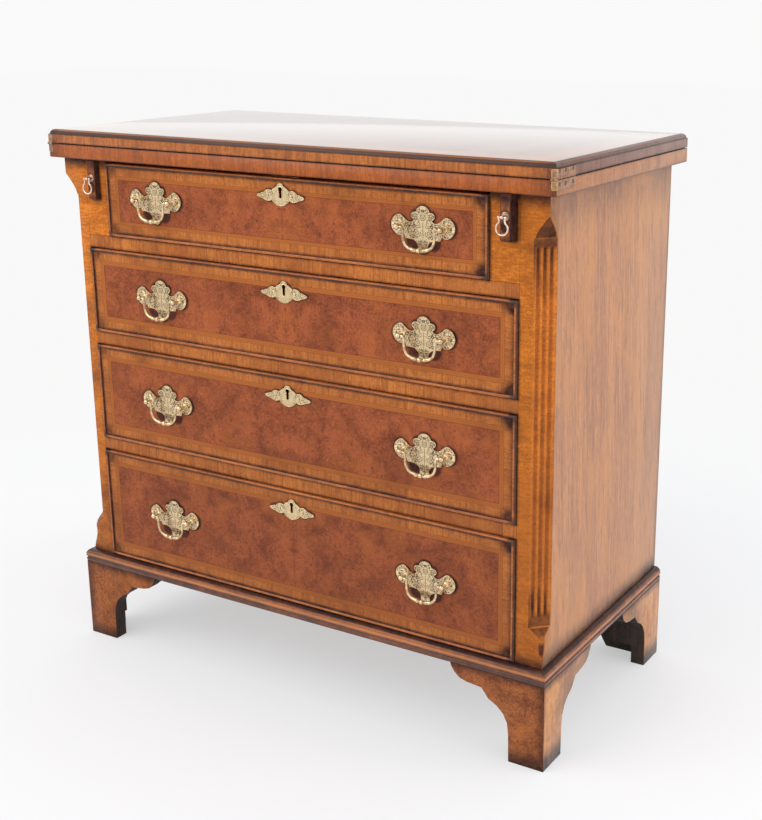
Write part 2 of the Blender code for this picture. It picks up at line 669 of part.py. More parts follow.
def foot(side, corner_y, into, face_shares, face_reach, block_size):
    """Two brackets mitred at a corner, with a block behind; into is 1 for a front foot, -1 for a rear."""
    corner_x = HALF_CARCASE + MOULDING_SIDE_PROUD - FOOT_INSET
    inner_x = corner_x - FOOT_THICKNESS
    inner_y = corner_y + into * FOOT_THICKNESS
    rings = []
    for along, low in bracket_stations(FOOT_SHARES, FOOT_REACH):
        y = corner_y + into * along
        ring = [(corner_x, y, low), (corner_x, y, FOOT_HEIGHT), (inner_x, y, FOOT_HEIGHT), (inner_x, y, low)]
        rings.append(ring)
    rings.append([
        (corner_x, corner_y, 0.0), (corner_x, corner_y, FOOT_HEIGHT),
        (inner_x, inner_y, FOOT_HEIGHT), (inner_x, inner_y, 0.0),
    ])
    for along, low in reversed(bracket_stations(face_shares, face_reach)):
        x = corner_x - along
        ring = [(x, corner_y, low), (x, corner_y, FOOT_HEIGHT), (x, inner_y, FOOT_HEIGHT), (x, inner_y, low)]
        rings.append(ring)
    brackets = lofted([[(side * x, y, z) for x, y, z in ring] for ring in rings])
    bite = FOOT_THICKNESS / 2
    block_y = sorted((inner_y - into * bite, inner_y + into * block_size))
    block_z = (FOOT_BLOCK_RISE, FOOT_HEIGHT - FOOT_BLOCK_DROP)
    block = sided_box(side, inner_x - block_size, inner_x + bite, block_y, block_z)
    return united(brackets, block)


def add_feet(wood):
    front_corner = FRONT_Y - MOULDING_FRONT_PROUD + FOOT_INSET
    for word, side in SIDES:
        front = foot(side, front_corner, 1, FOOT_SHARES, FOOT_REACH, FRONT_FOOT_BLOCK_SIZE)
        add_object(f"foot_front_{word}", mesh_of("foot_front", front, wood))
        rear = foot(side, BACK_Y, -1, REAR_FOOT_SHARES, REAR_BRACKET_REACH, REAR_FOOT_BLOCK_SIZE)
        add_object(f"foot_rear_{word}", mesh_of("foot_rear", rear, wood))


# Lopers that carry the opened top


def loper_settings():
    """(word, side, inner face's distance from the middle, how far it stands out) of each loper."""
    inset = (LEFT_LOPER_INSET, RIGHT_LOPER_INSET)
    stand = (LEFT_LOPER_STAND, RIGHT_LOPER_STAND)
    return [(word, side, TOP_OPENING / 2 + inset[i], stand[i]) for i, (word, side) in enumerate(SIDES)]


def add_loper_housings(wood):
    """Channel of each loper, whose inner wall also guides the top drawer."""
    low = TOP_OPENING_Z - OPENINGS_HEIGHT * DRAWER_SHARES[0] + FIT_GAP
    high = LEAF_UNDERSIDE_Z - FIT_GAP
    floor = LEAF_UNDERSIDE_Z - LOPER_TOP_GAP - LOPER_HEIGHT - RUNNER_GAP
    for word, side, loper_inner, _ in loper_settings():
        near = TOP_OPENING / 2
        slot_near = loper_inner - SLIDE_GAP
        slot_far = loper_inner + LOPER_THICKNESS + SLIDE_GAP
        far = WIDE_OPENING / 2
        outline = [
            (near, low), (far, low), (far, high), (slot_far, high),
            (slot_far, floor), (slot_near, floor), (slot_near, high), (near, high),
        ]
        channel = prism([(side * x, z) for x, z in outline], "y", FRONT_Y, PANEL_FRONT_Y - FIT_GAP)
        add_object(f"loper_housing_{word}", mesh_of("loper_housing", channel, wood))


def pull_post():
    """Rose, post and pierced ball of a ring pull, about the ring's axis."""
    face = PULL_POST_LENGTH - FIT_GAP
    rose_front = face - PULL_ROSE_THICKNESS
    profile = ball_headed(PULL_BALL_RADIUS, PULL_POST_RADIUS, rose_front)
    profile += [(rose_front, PULL_ROSE_RADIUS), (face, PULL_ROSE_RADIUS), (face, 0.0)]
    hole = cylinder("x", -CUT_OVERRUN, CUT_OVERRUN, PULL_PIN_RADIUS + 2 * FIT_GAP, 6)
    return cut(turned(profile, "y", 12), hole)


def pull_ring():
    """Omega-shaped ring on a cross pin with a bead at each shoulder, about its axis."""
    right = [(PULL_RING_HALF_WIDTH * x, 0.0, -PULL_RING_DROP * z, 1.0) for x, z in PULL_RING_SHARES]
    left = [(-x, y, z, share) for x, y, z, share in reversed(right[:-1])]
    ring = wire(right + left, PULL_WIRE_RADIUS)
    pin = cylinder("x", -PULL_BEAD_OFFSET, PULL_BEAD_OFFSET, PULL_PIN_RADIUS, 8)
    beads = [moved(ball(PULL_BEAD_RADIUS, 8, 6), (side * PULL_BEAD_OFFSET, 0.0, 0.0)) for _, side in SIDES]
    return united(ring, pin, *beads)


def add_lopers(wood, copper):
    ring_mesh = mesh_of("pull_ring", pull_ring(), copper)
    post_mesh = mesh_of("pull_post", pull_post(), copper)
    top = LEAF_UNDERSIDE_Z - LOPER_TOP_GAP
    bottom = top - LOPER_HEIGHT
    for word, side, inner, stand in loper_settings():
        face = FRONT_Y - stand
        centre = side * (inner + LOPER_THICKNESS / 2)
        slide = add_empty(f"loper_slide_{word}", (centre, face, top))
        outline = [
            (0.0, bottom + LOPER_CHAMFER - top), (LOPER_CHAMFER, bottom - top), (LOPER_LENGTH, bottom - top),
            (LOPER_LENGTH, 0.0), (LOPER_CHAMFER, 0.0), (0.0, -LOPER_CHAMFER),
        ]
        bar = prism(outline, "x", -LOPER_THICKNESS / 2, LOPER_THICKNESS / 2)
        add_object(f"loper_{word}", mesh_of("loper", bar, wood), parent=slide)
        place = (0.0, -PULL_POST_LENGTH, -PULL_DROP)
        add_object(f"pull_post_{word}", post_mesh, place, slide, smooth=True)
        add_object(f"pull_ring_{word}", ring_mesh, place, slide, smooth=True)


# Drawers


def keyhole_outline(margin):
    """Round head and straight slot, grown by a margin."""
    radius, half = KEYHOLE_RADIUS + margin, KEYHOLE_SLOT_HALF + margin
    start = math.asin(half / radius)
    arc = [start + (math.pi - start) * step / 4 for step in range(5)]
    half_points = [
        (radius * math.sin(angle), KEYHOLE_RISE - radius * math.cos(angle)) for angle in reversed(arc)
    ]
    half_points.append((half, -KEYHOLE_SLOT_DROP - margin))
    right = [(x if x > margin else 0.0, z) for x, z in half_points]
    return right + [(-x, z) for x, z in reversed(right[1:])]


def drawer_front(width, height, keyhole_z):
    """Front board whose face is sunk inside a raised, rounded cockbead."""
    half_x, half_z = width / 2 - DRAWER_GAP, height / 2 - DRAWER_GAP
    face = -DRAWER_PROUD
    crest = face - BEAD_PROUD
    back = face + FRONT_THICKNESS
    profile = (
        (0.0, back), (0.0, crest + BEAD_WIDTH / 3), (BEAD_WIDTH / 4, crest), (BEAD_WIDTH * 3 / 4, crest),
        (BEAD_WIDTH, crest + BEAD_WIDTH / 4), (BEAD_WIDTH, face),
    )
    rings = []
    for inset, y in profile:
        x, z = half_x - inset, half_z - inset
        rings.append([(-x, y, -z), (x, y, -z), (x, y, z), (-x, y, z)])
    outline = [(x, z + keyhole_z) for x, z in keyhole_outline(FIT_GAP)]
    hole = prism(outline, "y", crest - CUT_OVERRUN, back + CUT_OVERRUN)
    return cut(lofted(rings), hole)


def add_drawer(number, height, width, bottom, finishes):
    """One drawer on its slide: front, box, bottom panel, escutcheon and two handles."""
    slide = add_empty(f"drawer_{number}_slide", (0.0, FRONT_Y, bottom + height / 2))
    escutcheon_drop = TOP_ESCUTCHEON_DROP if number == 1 else ESCUTCHEON_DROP
    escutcheon_z = height / 2 - escutcheon_drop
    handle_z = TOP_HANDLE_RISE if number == 1 else HANDLE_RISE
    half_x = width / 2 - DRAWER_GAP
    low, high = -height / 2 + RUNNER_GAP, height / 2 - BOX_TOP_DROP
    board_back = FRONT_THICKNESS - DRAWER_PROUD
    box_front = board_back + FIT_GAP
    box_back = CARCASE_DEPTH - BACK_THICKNESS - BOX_BACK_CLEARANCE
    inner_x = half_x - BOX_THICKNESS
    inner_y = box_back - BOX_THICKNESS
    panel_z = low + DRAWER_PANEL_RISE
    reach = GROOVE_DEPTH - FIT_GAP
    panel_low = (-inner_x - reach, board_back - reach, panel_z)
    panel_high = (inner_x + reach, inner_y + reach, panel_z + DRAWER_PANEL_THICKNESS)
    groove_low = tuple(value - FIT_GAP for value in panel_low)
    groove_high = tuple(value + FIT_GAP for value in panel_high)

    front = cut(drawer_front(width, height, escutcheon_z), box(groove_low, groove_high))
    add_object(f"drawer_front_{number}", mesh_of("drawer_front", front, finishes["burr"]), parent=slide)

    outline = [
        (half_x, box_front), (half_x, box_back), (-half_x, box_back), (-half_x, box_front),
        (-inner_x, box_front), (-inner_x, inner_y), (inner_x, inner_y), (inner_x, box_front),
    ]
    sides = cut(prism(outline, "z", low, high), box(groove_low, groove_high))
    add_object(f"drawer_box_{number}", mesh_of("drawer_box", sides, finishes["oak"]), parent=slide)
    panel = mesh_of("drawer_bottom", box(panel_low, panel_high), finishes["oak"])
    add_object(f"drawer_bottom_{number}", panel, parent=slide)

    face = -DRAWER_PROUD - FIT_GAP
    add_object(
        f"escutcheon_{number}", finishes["escutcheon_mesh"], (0.0, face, escutcheon_z), slide
    )
    for word, side in SIDES:
        place = (side * HANDLE_SPREAD, face - PLATE_THICKNESS - POST_LENGTH, handle_z)
        swing = add_empty(f"handle_{number}_{word}_axis", place, slide)
        add_object(f"handle_plate_{number}_{word}", finishes["plate_mesh"], parent=swing)
        add_object(f"bail_{number}_{word}", finishes["bail_mesh"], parent=swing, smooth=True)


def escutcheon():
    half = [(ESCUTCHEON_WIDTH / 2 * x, ESCUTCHEON_HEIGHT * z) for x, z in ESCUTCHEON_SHARES]
    plate = prism(mirrored_outline(half), "y", -ESCUTCHEON_THICKNESS, 0.0)
    return cut(plate, prism(keyhole_outline(0.0), "y", -CUT_OVERRUN, CUT_OVERRUN))


def handle_plate():
    """Back plate with its two ball-headed posts, about the bail's axis in front of it."""
    half = [(PLATE_WIDTH / 2 * x, PLATE_HEIGHT * z) for x, z in PLATE_SHARES]
    plate = prism(mirrored_outline(half), "y", POST_LENGTH, POST_LENGTH + PLATE_THICKNESS)
    stem_end = POST_LENGTH + PLATE_THICKNESS / 2
    for _, side in SIDES:
        profile = ball_headed(POST_BALL_RADIUS, POST_RADIUS, stem_end) + [(stem_end, 0.0)]
        post = moved(turned(profile, "y", 10), (side * POST_SPACING / 2, 0.0, 0.0))
        inner_end = side * (POST_SPACING / 2 - POST_BALL_RADIUS - CUT_OVERRUN)
        outer_end = side * (POST_SPACING / 2 - POST_BALL_RADIUS + BAIL_PIN_DEPTH + 2 * FIT_GAP)
        hole = cylinder("x", *sorted((inner_end, outer_end)), POST_HOLE_RADIUS, 6)
        plate = united(plate, cut(post, hole))
    return plate


def bail():
    """Swan-neck bail about its axis, thickened towards a centre bead, with a pin into each post."""
    tip = POST_SPACING / 2 - POST_BALL_RADIUS + BAIL_PIN_DEPTH
    pin_share = BAIL_PIN_RADIUS / BAIL_WIRE_RADIUS
    right = [(tip, 0.0, 0.0, pin_share)]
    right += [(BAIL_HALF_WIDTH * x, 0.0, -BAIL_DROP * z, share) for x, z, share in BAIL_SHARES]
    left = [(-x, y, z, share) for x, y, z, share in reversed(right[:-1])]
    body = wire(right + left, BAIL_WIRE_RADIUS)
    bead = moved(ball(BAIL_BEAD_RADIUS, 8, 6), (0.0, 0.0, -BAIL_DROP))
    return united(body, bead)


def main():
    clear_scene()
    leaf = new_material("walnut_leaf", (0.46, 0.24, 0.10), 0.18, 0.0)
    panel = new_material("walnut_side", (0.40, 0.27, 0.17), 0.4, 0.0)
    front = new_material("walnut_front", (0.45, 0.20, 0.06), 0.3, 0.0)
    burr = new_material("burr_walnut", (0.30, 0.105, 0.040), 0.3, 0.0)
    moulding = new_material("walnut_moulding", (0.48, 0.19, 0.05), 0.3, 0.0)
    oak = new_material("drawer_oak", (0.50, 0.35, 0.19), 0.6, 0.0)
    board = new_material("plain_board", (0.22, 0.13, 0.07), 0.75, 0.0)
    brass = new_material("antique_brass", (0.60, 0.50, 0.30), 0.3, 1.0)
    copper = new_material("ring_copper", (0.80, 0.45, 0.33), 0.3, 1.0)

    hinge_line = add_empty("top_hinge_line", (0.0, PIN_Y, PIN_Z))
    add_lower_leaf(leaf)
    add_upper_leaf(leaf, hinge_line)
    add_hinge_plates(brass, hinge_line)
    add_side_panels(panel)
    add_back_panel(board)
    add_carcase_bottom(board)
    add_dividers(front)
    add_corner_posts(front)
    add_base_moulding(moulding)
    add_feet(burr)
    add_loper_housings(front)
    add_lopers(front, copper)

    finishes = {
        "burr": burr,
        "oak": oak,
        "escutcheon_mesh": mesh_of("escutcheon", escutcheon(), brass),
        "plate_mesh": mesh_of("handle_plate", handle_plate(), brass),
        "bail_mesh": mesh_of("bail", bail(), brass),
    }
    for number, height, width, bottom in drawer_levels():
        add_drawer(number, height, width, bottom, finishes)


main()
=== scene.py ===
"""The bachelor's chest, dressed: polished walnut and burr, inlay, aged brass and a pale studio.

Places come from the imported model. Boards that show are replaced by polished copies of themselves with eased
edges and veneered faces. Drawer fronts, handles, keyhole plates, screws and ring pulls are modelled in full.
Wood patterns are worked out by shader nodes from Object coordinates, and the chasing of the brass from a map
of each plate's own X and Z.
"""
from __future__ import annotations

import json
import logging
import math
from dataclasses import dataclass
from enum import Enum
from functools import partial, reduce
from typing import Optional, Sequence, Union

import bmesh
import bpy
from mathutils import Matrix, Vector

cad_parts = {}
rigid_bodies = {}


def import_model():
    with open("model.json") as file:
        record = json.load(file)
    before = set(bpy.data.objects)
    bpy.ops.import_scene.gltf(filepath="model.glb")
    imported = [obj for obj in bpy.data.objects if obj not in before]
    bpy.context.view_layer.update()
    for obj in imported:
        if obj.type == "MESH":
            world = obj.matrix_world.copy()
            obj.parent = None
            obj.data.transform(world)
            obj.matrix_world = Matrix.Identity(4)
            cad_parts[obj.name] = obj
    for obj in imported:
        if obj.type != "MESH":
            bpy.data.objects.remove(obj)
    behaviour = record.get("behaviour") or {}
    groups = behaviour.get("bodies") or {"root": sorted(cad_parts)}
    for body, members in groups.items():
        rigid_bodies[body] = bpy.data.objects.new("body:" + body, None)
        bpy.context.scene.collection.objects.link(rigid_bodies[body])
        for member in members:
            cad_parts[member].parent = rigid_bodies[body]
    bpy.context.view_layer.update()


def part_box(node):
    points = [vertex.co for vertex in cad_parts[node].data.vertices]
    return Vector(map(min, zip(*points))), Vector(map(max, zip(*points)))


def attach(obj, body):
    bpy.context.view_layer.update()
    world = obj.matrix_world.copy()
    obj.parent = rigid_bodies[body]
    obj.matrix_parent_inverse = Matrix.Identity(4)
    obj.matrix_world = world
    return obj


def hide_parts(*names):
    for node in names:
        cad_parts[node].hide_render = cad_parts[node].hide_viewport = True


log = logging.getLogger("bachelors_chest")

Point = tuple[float, float, float]
Colour = tuple[float, float, float]
Profile = Sequence[tuple[float, float]]
Faces = list[bmesh.types.BMFace]
Material = bpy.types.Material
Term = Union["Value", float, Point]

MM = 0.001
SIDES = (("left", -1), ("right", 1))
DRAWERS = (1, 2, 3, 4)
FORWARD: Point = (0, -1, 0)
BACKWARD: Point = (0, 1, 0)
FLAT = 0.999
SAME_PLACE = 1e-5
RIM_STEP = 0.15 * MM
GROUND_MARGIN = 0.1 * MM


class Axis(Enum):
    """An axis of the chest, which grain or a turned piece runs along."""

    ACROSS = 0
    DEPTH = 1
    UPRIGHT = 2

    def turn(self) -> Matrix:
        """Returns the rotation that takes +Z to this axis.

        Returns:
            The rotation.
        """
        if self is Axis.ACROSS:
            return Matrix.Rotation(math.pi / 2, 4, "Y")
        if self is Axis.DEPTH:
            return Matrix.Rotation(-math.pi / 2, 4, "X")
        return Matrix.Identity(4)


# Bench work: meshes


def only_verts(items: Sequence[object]) -> list[bmesh.types.BMVert]:
    """Returns the vertices among the items that an operator gives back."""
    return [item for item in items if isinstance(item, bmesh.types.BMVert)]


def place_in_scene(name: str, data: bpy.types.ID) -> bpy.types.Object:
    """Makes an object of a mesh, light or camera and links it to the scene.

    Args:
        name: The object's name.
        data: The mesh, light or camera.

    Returns:
        The object.
    """
    thing = bpy.data.objects.new(name, data)
    bpy.context.scene.collection.objects.link(thing)
    return thing


class Blank:
    """One piece on the bench: a bmesh and the operations that shape it."""

    def __init__(self) -> None:
        """Starts empty."""
        self.bm = bmesh.new()

    @classmethod
    def block(cls, low: Sequence[float], high: Sequence[float]) -> Blank:
        """Makes a rectangular block.

        Args:
            low: The lowest corner.
            high: The highest corner.

        Returns:
            The new piece.
        """
        blank = cls()
        size = [b - a for a, b in zip(low, high)]
        middle = [(a + b) / 2 for a, b in zip(low, high)]
        matrix = Matrix.Translation(middle) @ Matrix.Diagonal((*size, 1.0))
        bmesh.ops.create_cube(blank.bm, size=1.0, matrix=matrix)
        return blank

    @classmethod
    def board(cls, outline: Profile, low: float, high: float) -> Blank:
        """Cuts an outline in the XZ plane from a board that lies between two depths.

        Args:
            outline: The (x, z) points in order.
            low: The front of the board along Y.
            high: The back of the board along Y.

        Returns:
            The new piece.
        """
        blank = cls()
        face = blank.bm.faces.new([blank.bm.verts.new((x, low, z)) for x, z in outline])
        grown = bmesh.ops.extrude_face_region(blank.bm, geom=[face])
        bmesh.ops.translate(blank.bm, verts=only_verts(grown["geom"]), vec=(0.0, high - low, 0.0))
        return blank.outward()

    @classmethod
    def rimmed(cls, outline: Profile, front: float, thickness: float, rim: float, sunk: float) -> Blank:
        """Makes a plate whose ground is sunk inside a rim.

        Args:
            outline: The (x, z) points in order.
            front: The depth of the rim along Y.
            thickness: The plate's thickness.
            rim: The width of the rim.
            sunk: How far the ground lies behind the rim.

        Returns:
            The new piece.
        """
        plate = cls.board(outline, front, front + thickness)
        ground = plate.facing(FORWARD)
        plate.inset(ground, rim, 0.0)
        plate.inset(ground, RIM_STEP, -sunk)
        return plate

    @classmethod
    def turned(cls, profile: Profile, axis: Axis, steps: int = 24) -> Blank:
        """Turns a profile on the lathe.

        Args:
            profile: The (distance along the axis, radius) points.
            axis: The axis that the piece is turned about.
            steps: The number of steps round it.

        Returns:
            The new piece.
        """
        blank = cls()
        chain = [blank.bm.verts.new((radius, 0.0, along)) for along, radius in profile]
        edges = [blank.bm.edges.new(pair) for pair in zip(chain, chain[1:])]
        bmesh.ops.spin(
            blank.bm, geom=chain + edges, cent=(0, 0, 0), axis=(0, 0, 1), angle=2 * math.pi, steps=steps,
            use_merge=True,
        )
        bmesh.ops.transform(blank.bm, matrix=axis.turn(), verts=blank.bm.verts)
        return blank.outward()

    @classmethod
    def dome(cls, radius: float, height: float, steps: int = 10) -> Blank:
        """Makes a low dome that rises towards -Y from a flat foot at Y = 0.

        Args:
            radius: The radius of its foot.
            height: How far it stands out.
            steps: The number of steps round it.

        Returns:
            The new piece.
        """
        arc = [math.pi / 2 * i / 4 for i in range(5)]
        profile = [(-height * math.cos(a), radius * math.sin(a)) for a in arc] + [(0.0, 0.0)]
        return cls.turned(profile, Axis.DEPTH, steps)

    @classmethod
    def swept(
        cls, path: Sequence[Point], radii: Union[float, Sequence[float]], sides: int = 12, closed: bool = False
    ) -> Blank:
        """Draws a round wire along a path in a plane of constant Y.

        Args:
            path: The points of the wire's middle.
            radii: The wire's radius, the same all along or one for each point.
            sides: The number of sides of the wire.
            closed: Whether the last point joins the first.

        Returns:
            The new piece.
        """
        blank = cls()
        points = [Vector(p) for p in path]
        count = len(points)
        sizes = [radii] * count if isinstance(radii, float) else radii
        frames = []
        for i, point in enumerate(points):
            before = points[(i - 1) % count] if closed or i else point
            after = points[(i + 1) % count] if closed or i < count - 1 else point
            tangent = (after - before).normalized()
            normal = tangent.cross(Vector(BACKWARD))
            turn = Matrix((normal, BACKWARD, tangent)).transposed().to_4x4()
            frames.append(Matrix.Translation(point) @ turn @ Matrix.Scale(sizes[i], 4))
        ring = bmesh.ops.create_circle(blank.bm, segments=sides, radius=1.0, matrix=frames[0])["verts"]
        edges = [edge for edge in blank.bm.edges if all(v in ring for v in edge.verts)]
        first = list(edges)
        for before, after in zip(frames, frames[1:]):
            grown = bmesh.ops.extrude_edge_only(blank.bm, edges=edges)["geom"]
            ring = only_verts(grown)
            edges = [e for e in grown if isinstance(e, bmesh.types.BMEdge) and all(v in ring for v in e.verts)]
            bmesh.ops.transform(blank.bm, matrix=after @ before.inverted(), verts=ring)
        if closed:
            bmesh.ops.bridge_loops(blank.bm, edges=first + edges)
        else:
            bmesh.ops.holes_fill(blank.bm, edges=blank.bm.edges, sides=0)
        return blank.outward()

    @classmethod
    def copy_of(cls, node: str) -> Blank:
        """Takes a merged copy of a CAD node's mesh, with its flat faces whole again.

        Args:
            node: The node's name.

        Returns:
            The new piece.
        """
        blank = cls()
        blank.bm.from_mesh(bpy.data.objects[node].data)
        bmesh.ops.remove_doubles(blank.bm, verts=blank.bm.verts, dist=2e-6)
        bmesh.ops.dissolve_limit(
            blank.bm, angle_limit=math.radians(0.3), verts=blank.bm.verts, edges=blank.bm.edges
        )
        return blank

    def outward(self) -> Blank:
        """Merges doubles and turns every face outwards.

        Returns:
            The same piece.
        """
        bmesh.ops.remove_doubles(self.bm, verts=self.bm.verts, dist=1e-7)
        bmesh.ops.recalc_face_normals(self.bm, faces=self.bm.faces)
        return self

    def move(self, offset: Sequence[float]) -> Blank:
        """Moves the piece by an offset."""
        bmesh.ops.translate(self.bm, verts=self.bm.verts, vec=Vector(offset))
        return self

    def transform(self, matrix: Matrix) -> Blank:
        """Transforms the piece and keeps its faces outward.

        Args:
            matrix: The transform.

        Returns:
            The same piece.
        """
        bmesh.ops.transform(self.bm, matrix=matrix, verts=self.bm.verts)
        bmesh.ops.recalc_face_normals(self.bm, faces=self.bm.faces)
        return self

    def on_side(self, side: int) -> Blank:
        """Mirrors a piece that was made for the chest's right, if it goes on the left."""
        return self.transform(Matrix.Diagonal((-1.0, 1.0, 1.0, 1.0))) if side < 0 else self

    def bevel(self, edges: Sequence[bmesh.types.BMEdge], width: float, segments: int) -> Blank:
        """Rounds some edges.

        Args:
            edges: The edges.
            width: The width of the rounding.
            segments: The number of steps across it.

        Returns:
            The same piece.
        """
        bmesh.ops.bevel(
            self.bm, geom=edges, offset=width, segments=segments, profile=0.5, affect="EDGES",
            clamp_overlap=True, material=-1,
        )
        return self

    def ease(self, width: float, segments: int = 2, angle: float = 40.0) -> Blank:
        """Rounds the arrises that are sharper than an angle.

        Args:
            width: The width of the rounding.
            segments: The number of steps across it.
            angle: The least angle between two faces, in degrees.

        Returns:
            The same piece.
        """
        limit = math.radians(angle)
        sharp = [e for e in self.bm.edges if len(e.link_faces) == 2 and e.calc_face_angle(0.0) > limit]
        return self.bevel(sharp, width, segments)

    def inset(self, faces: Faces, width: float, depth: float) -> Faces:
        """Insets faces as one region.

        Args:
            faces: The faces to inset.
            width: The width of the new rim.
            depth: How far the middle moves out of the face.

        Returns:
            The faces of the rim.
        """
        done = bmesh.ops.inset_region(
            self.bm, faces=faces, thickness=width, depth=depth, use_even_offset=True, use_boundary=True
        )
        return done["faces"]

    def facing(self, normal: Point, limit: float = 0.95) -> Faces:
        """Returns the faces that look along a direction."""
        self.bm.normal_update()
        return [face for face in self.bm.faces if face.normal.dot(Vector(normal)) > limit]

    def outer(self, side: int, limit: float) -> Faces:
        """Returns the faces that look out of one side and lie beyond a distance from the middle."""
        return [f for f in self.facing((side, 0, 0), 0.7) if side * f.calc_center_median().x > limit]

    def foremost(self, limit: float) -> Faces:
        """Returns the faces that look forward and lie in front of a depth."""
        return [f for f in self.facing(FORWARD, 0.7) if f.calc_center_median().y < limit]

    def paint(self, index: int, faces: Optional[Faces] = None) -> Blank:
        """Gives faces, or all of them, a material slot by number."""
        for face in faces if faces is not None else self.bm.faces:
            face.material_index = index
        return self

    def paint_ground(self, depth: float) -> Blank:
        """Gives a rimmed plate its first slot, and its ground at a depth the second.

        Args:
            depth: The depth of the ground.

        Returns:
            The same piece.
        """
        self.paint(0)
        ground = [f for f in self.facing(FORWARD) if f.calc_center_median().y > depth - GROUND_MARGIN]
        return self.paint(1, ground)

    def map_plate(self) -> Blank:
        """Gives a plate, while it is still about its own origin, a map of its own X and Z in metres.

        Returns:
            The same piece.
        """
        layer = self.bm.loops.layers.uv.new("plate")
        for face in self.bm.faces:
            for loop in face.loops:
                loop[layer].uv = (loop.vert.co.x, loop.vert.co.z)
        return self

    def to_mesh(self, name: str) -> bpy.types.Mesh:
        """Writes the piece to a new mesh and uses the piece up.

        Args:
            name: The mesh's name.

        Returns:
            The mesh.
        """
        mesh = bpy.data.meshes.new(name)
        self.bm.to_mesh(mesh)
        self.bm.free()
        return mesh

    def join(self, *others: Blank) -> Blank:
        """Adds other pieces to this one's mesh and uses them up."""
        for other in others:
            mesh = other.to_mesh("joined")
            self.bm.from_mesh(mesh)
            bpy.data.meshes.remove(mesh)
        return self

    def cut(self, tool: Blank) -> Blank:
        """Cuts a tool's shape out of this piece and uses the tool up.

        Args:
            tool: The shape to cut away.

        Returns:
            The same piece.
        """
        piece, cutter = (place_in_scene("operand", blank.to_mesh("operand")) for blank in (self, tool))
        modifier = piece.modifiers.new("cut", "BOOLEAN")
        modifier.operation = "DIFFERENCE"
        modifier.object = cutter
        graph = bpy.context.evaluated_depsgraph_get()
        self.bm = bmesh.new()
        self.bm.from_mesh(piece.evaluated_get(graph).to_mesh())
        for thing in (piece, cutter):
            bpy.data.objects.remove(thing, do_unlink=True)
        return self

    def finish(
        self, name: str, body: str, slot: str, materials: Sequence[Material], replaces: Sequence[str] = (),
        smooth_angle: float = 40.0,
    ) -> None:
        """Makes the piece an object that rides on a body.

        Args:
            name: The object's name.
            body: The CAD body that it moves with.
            slot: The record's material slot; not used.
            materials: Its materials in slot order.
            replaces: The CAD nodes that it stands for.
            smooth_angle: Edges sharper than this stay sharp, in degrees.
        """
        mesh = self.to_mesh(name)
        for material in materials:
            mesh.materials.append(material)
        mesh.shade_smooth()
        mesh.set_sharp_from_angle(angle=math.radians(smooth_angle))
        piece = place_in_scene(name, mesh)
        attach(piece, body)
        if replaces:
            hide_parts(*replaces)
        log.info("%s: %d faces on %s", name, len(mesh.polygons), body)


def smoothed(points: Profile, sharp: Sequence[int] = (), steps: int = 3) -> list[tuple[float, float]]:
    """Runs a smooth curve through points, with corners at the sharp ones and at both ends.

    Args:
        points: The points that the curve passes.
        sharp: The numbers of the points that stay corners.
        steps: The number of steps between two points.

    Returns:
        The points of the curve.
    """
    corners = sorted({0, len(points) - 1, *sharp})
    curve = [tuple(points[0])]
    for start, end in zip(corners, corners[1:]):
        run = [Vector(p) for p in points[start:end + 1]]
        for i in range(len(run) - 1):
            a, b = run[i], run[i + 1]
            before = run[i - 1] if i else a - (b - a)
            after = run[i + 2] if i + 2 < len(run) else b + (b - a)
            for step in range(1, steps + 1):
                t = step / steps
                point = 0.5 * (
                    2 * a + (b - before) * t + (2 * before - 5 * a + 4 * b - after) * t ** 2
                    + (3 * a - before - 3 * b + after) * t ** 3
                )
                curve.append((point.x, point.y))
    return curve


def mirrored(half: Profile) -> list[tuple[float, float]]:
    """Closes the right half of an outline, from its top middle to its bottom middle, with its mirror image."""
    return list(half) + [(-x, z) for x, z in reversed(list(half)[1:-1])]


def both_sides(path: list[Point]) -> list[Point]:
    """Adds to the right half of a wire, which ends in the middle, its mirror image."""
    return path + [(-x, y, z) for x, y, z in reversed(path[:-1])]


def arc_points(centre: tuple[float, float], radius: float, start: float, end: float, count: int) -> list[Point]:
    """Returns points of an arc in the XZ plane at Y = 0, between two angles in degrees."""
    angles = [math.radians(start + (end - start) * i / (count - 1)) for i in range(count)]
    return [(centre[0] + radius * math.cos(a), 0.0, centre[1] + radius * math.sin(a)) for a in angles]


# Finishing room: shader nodes


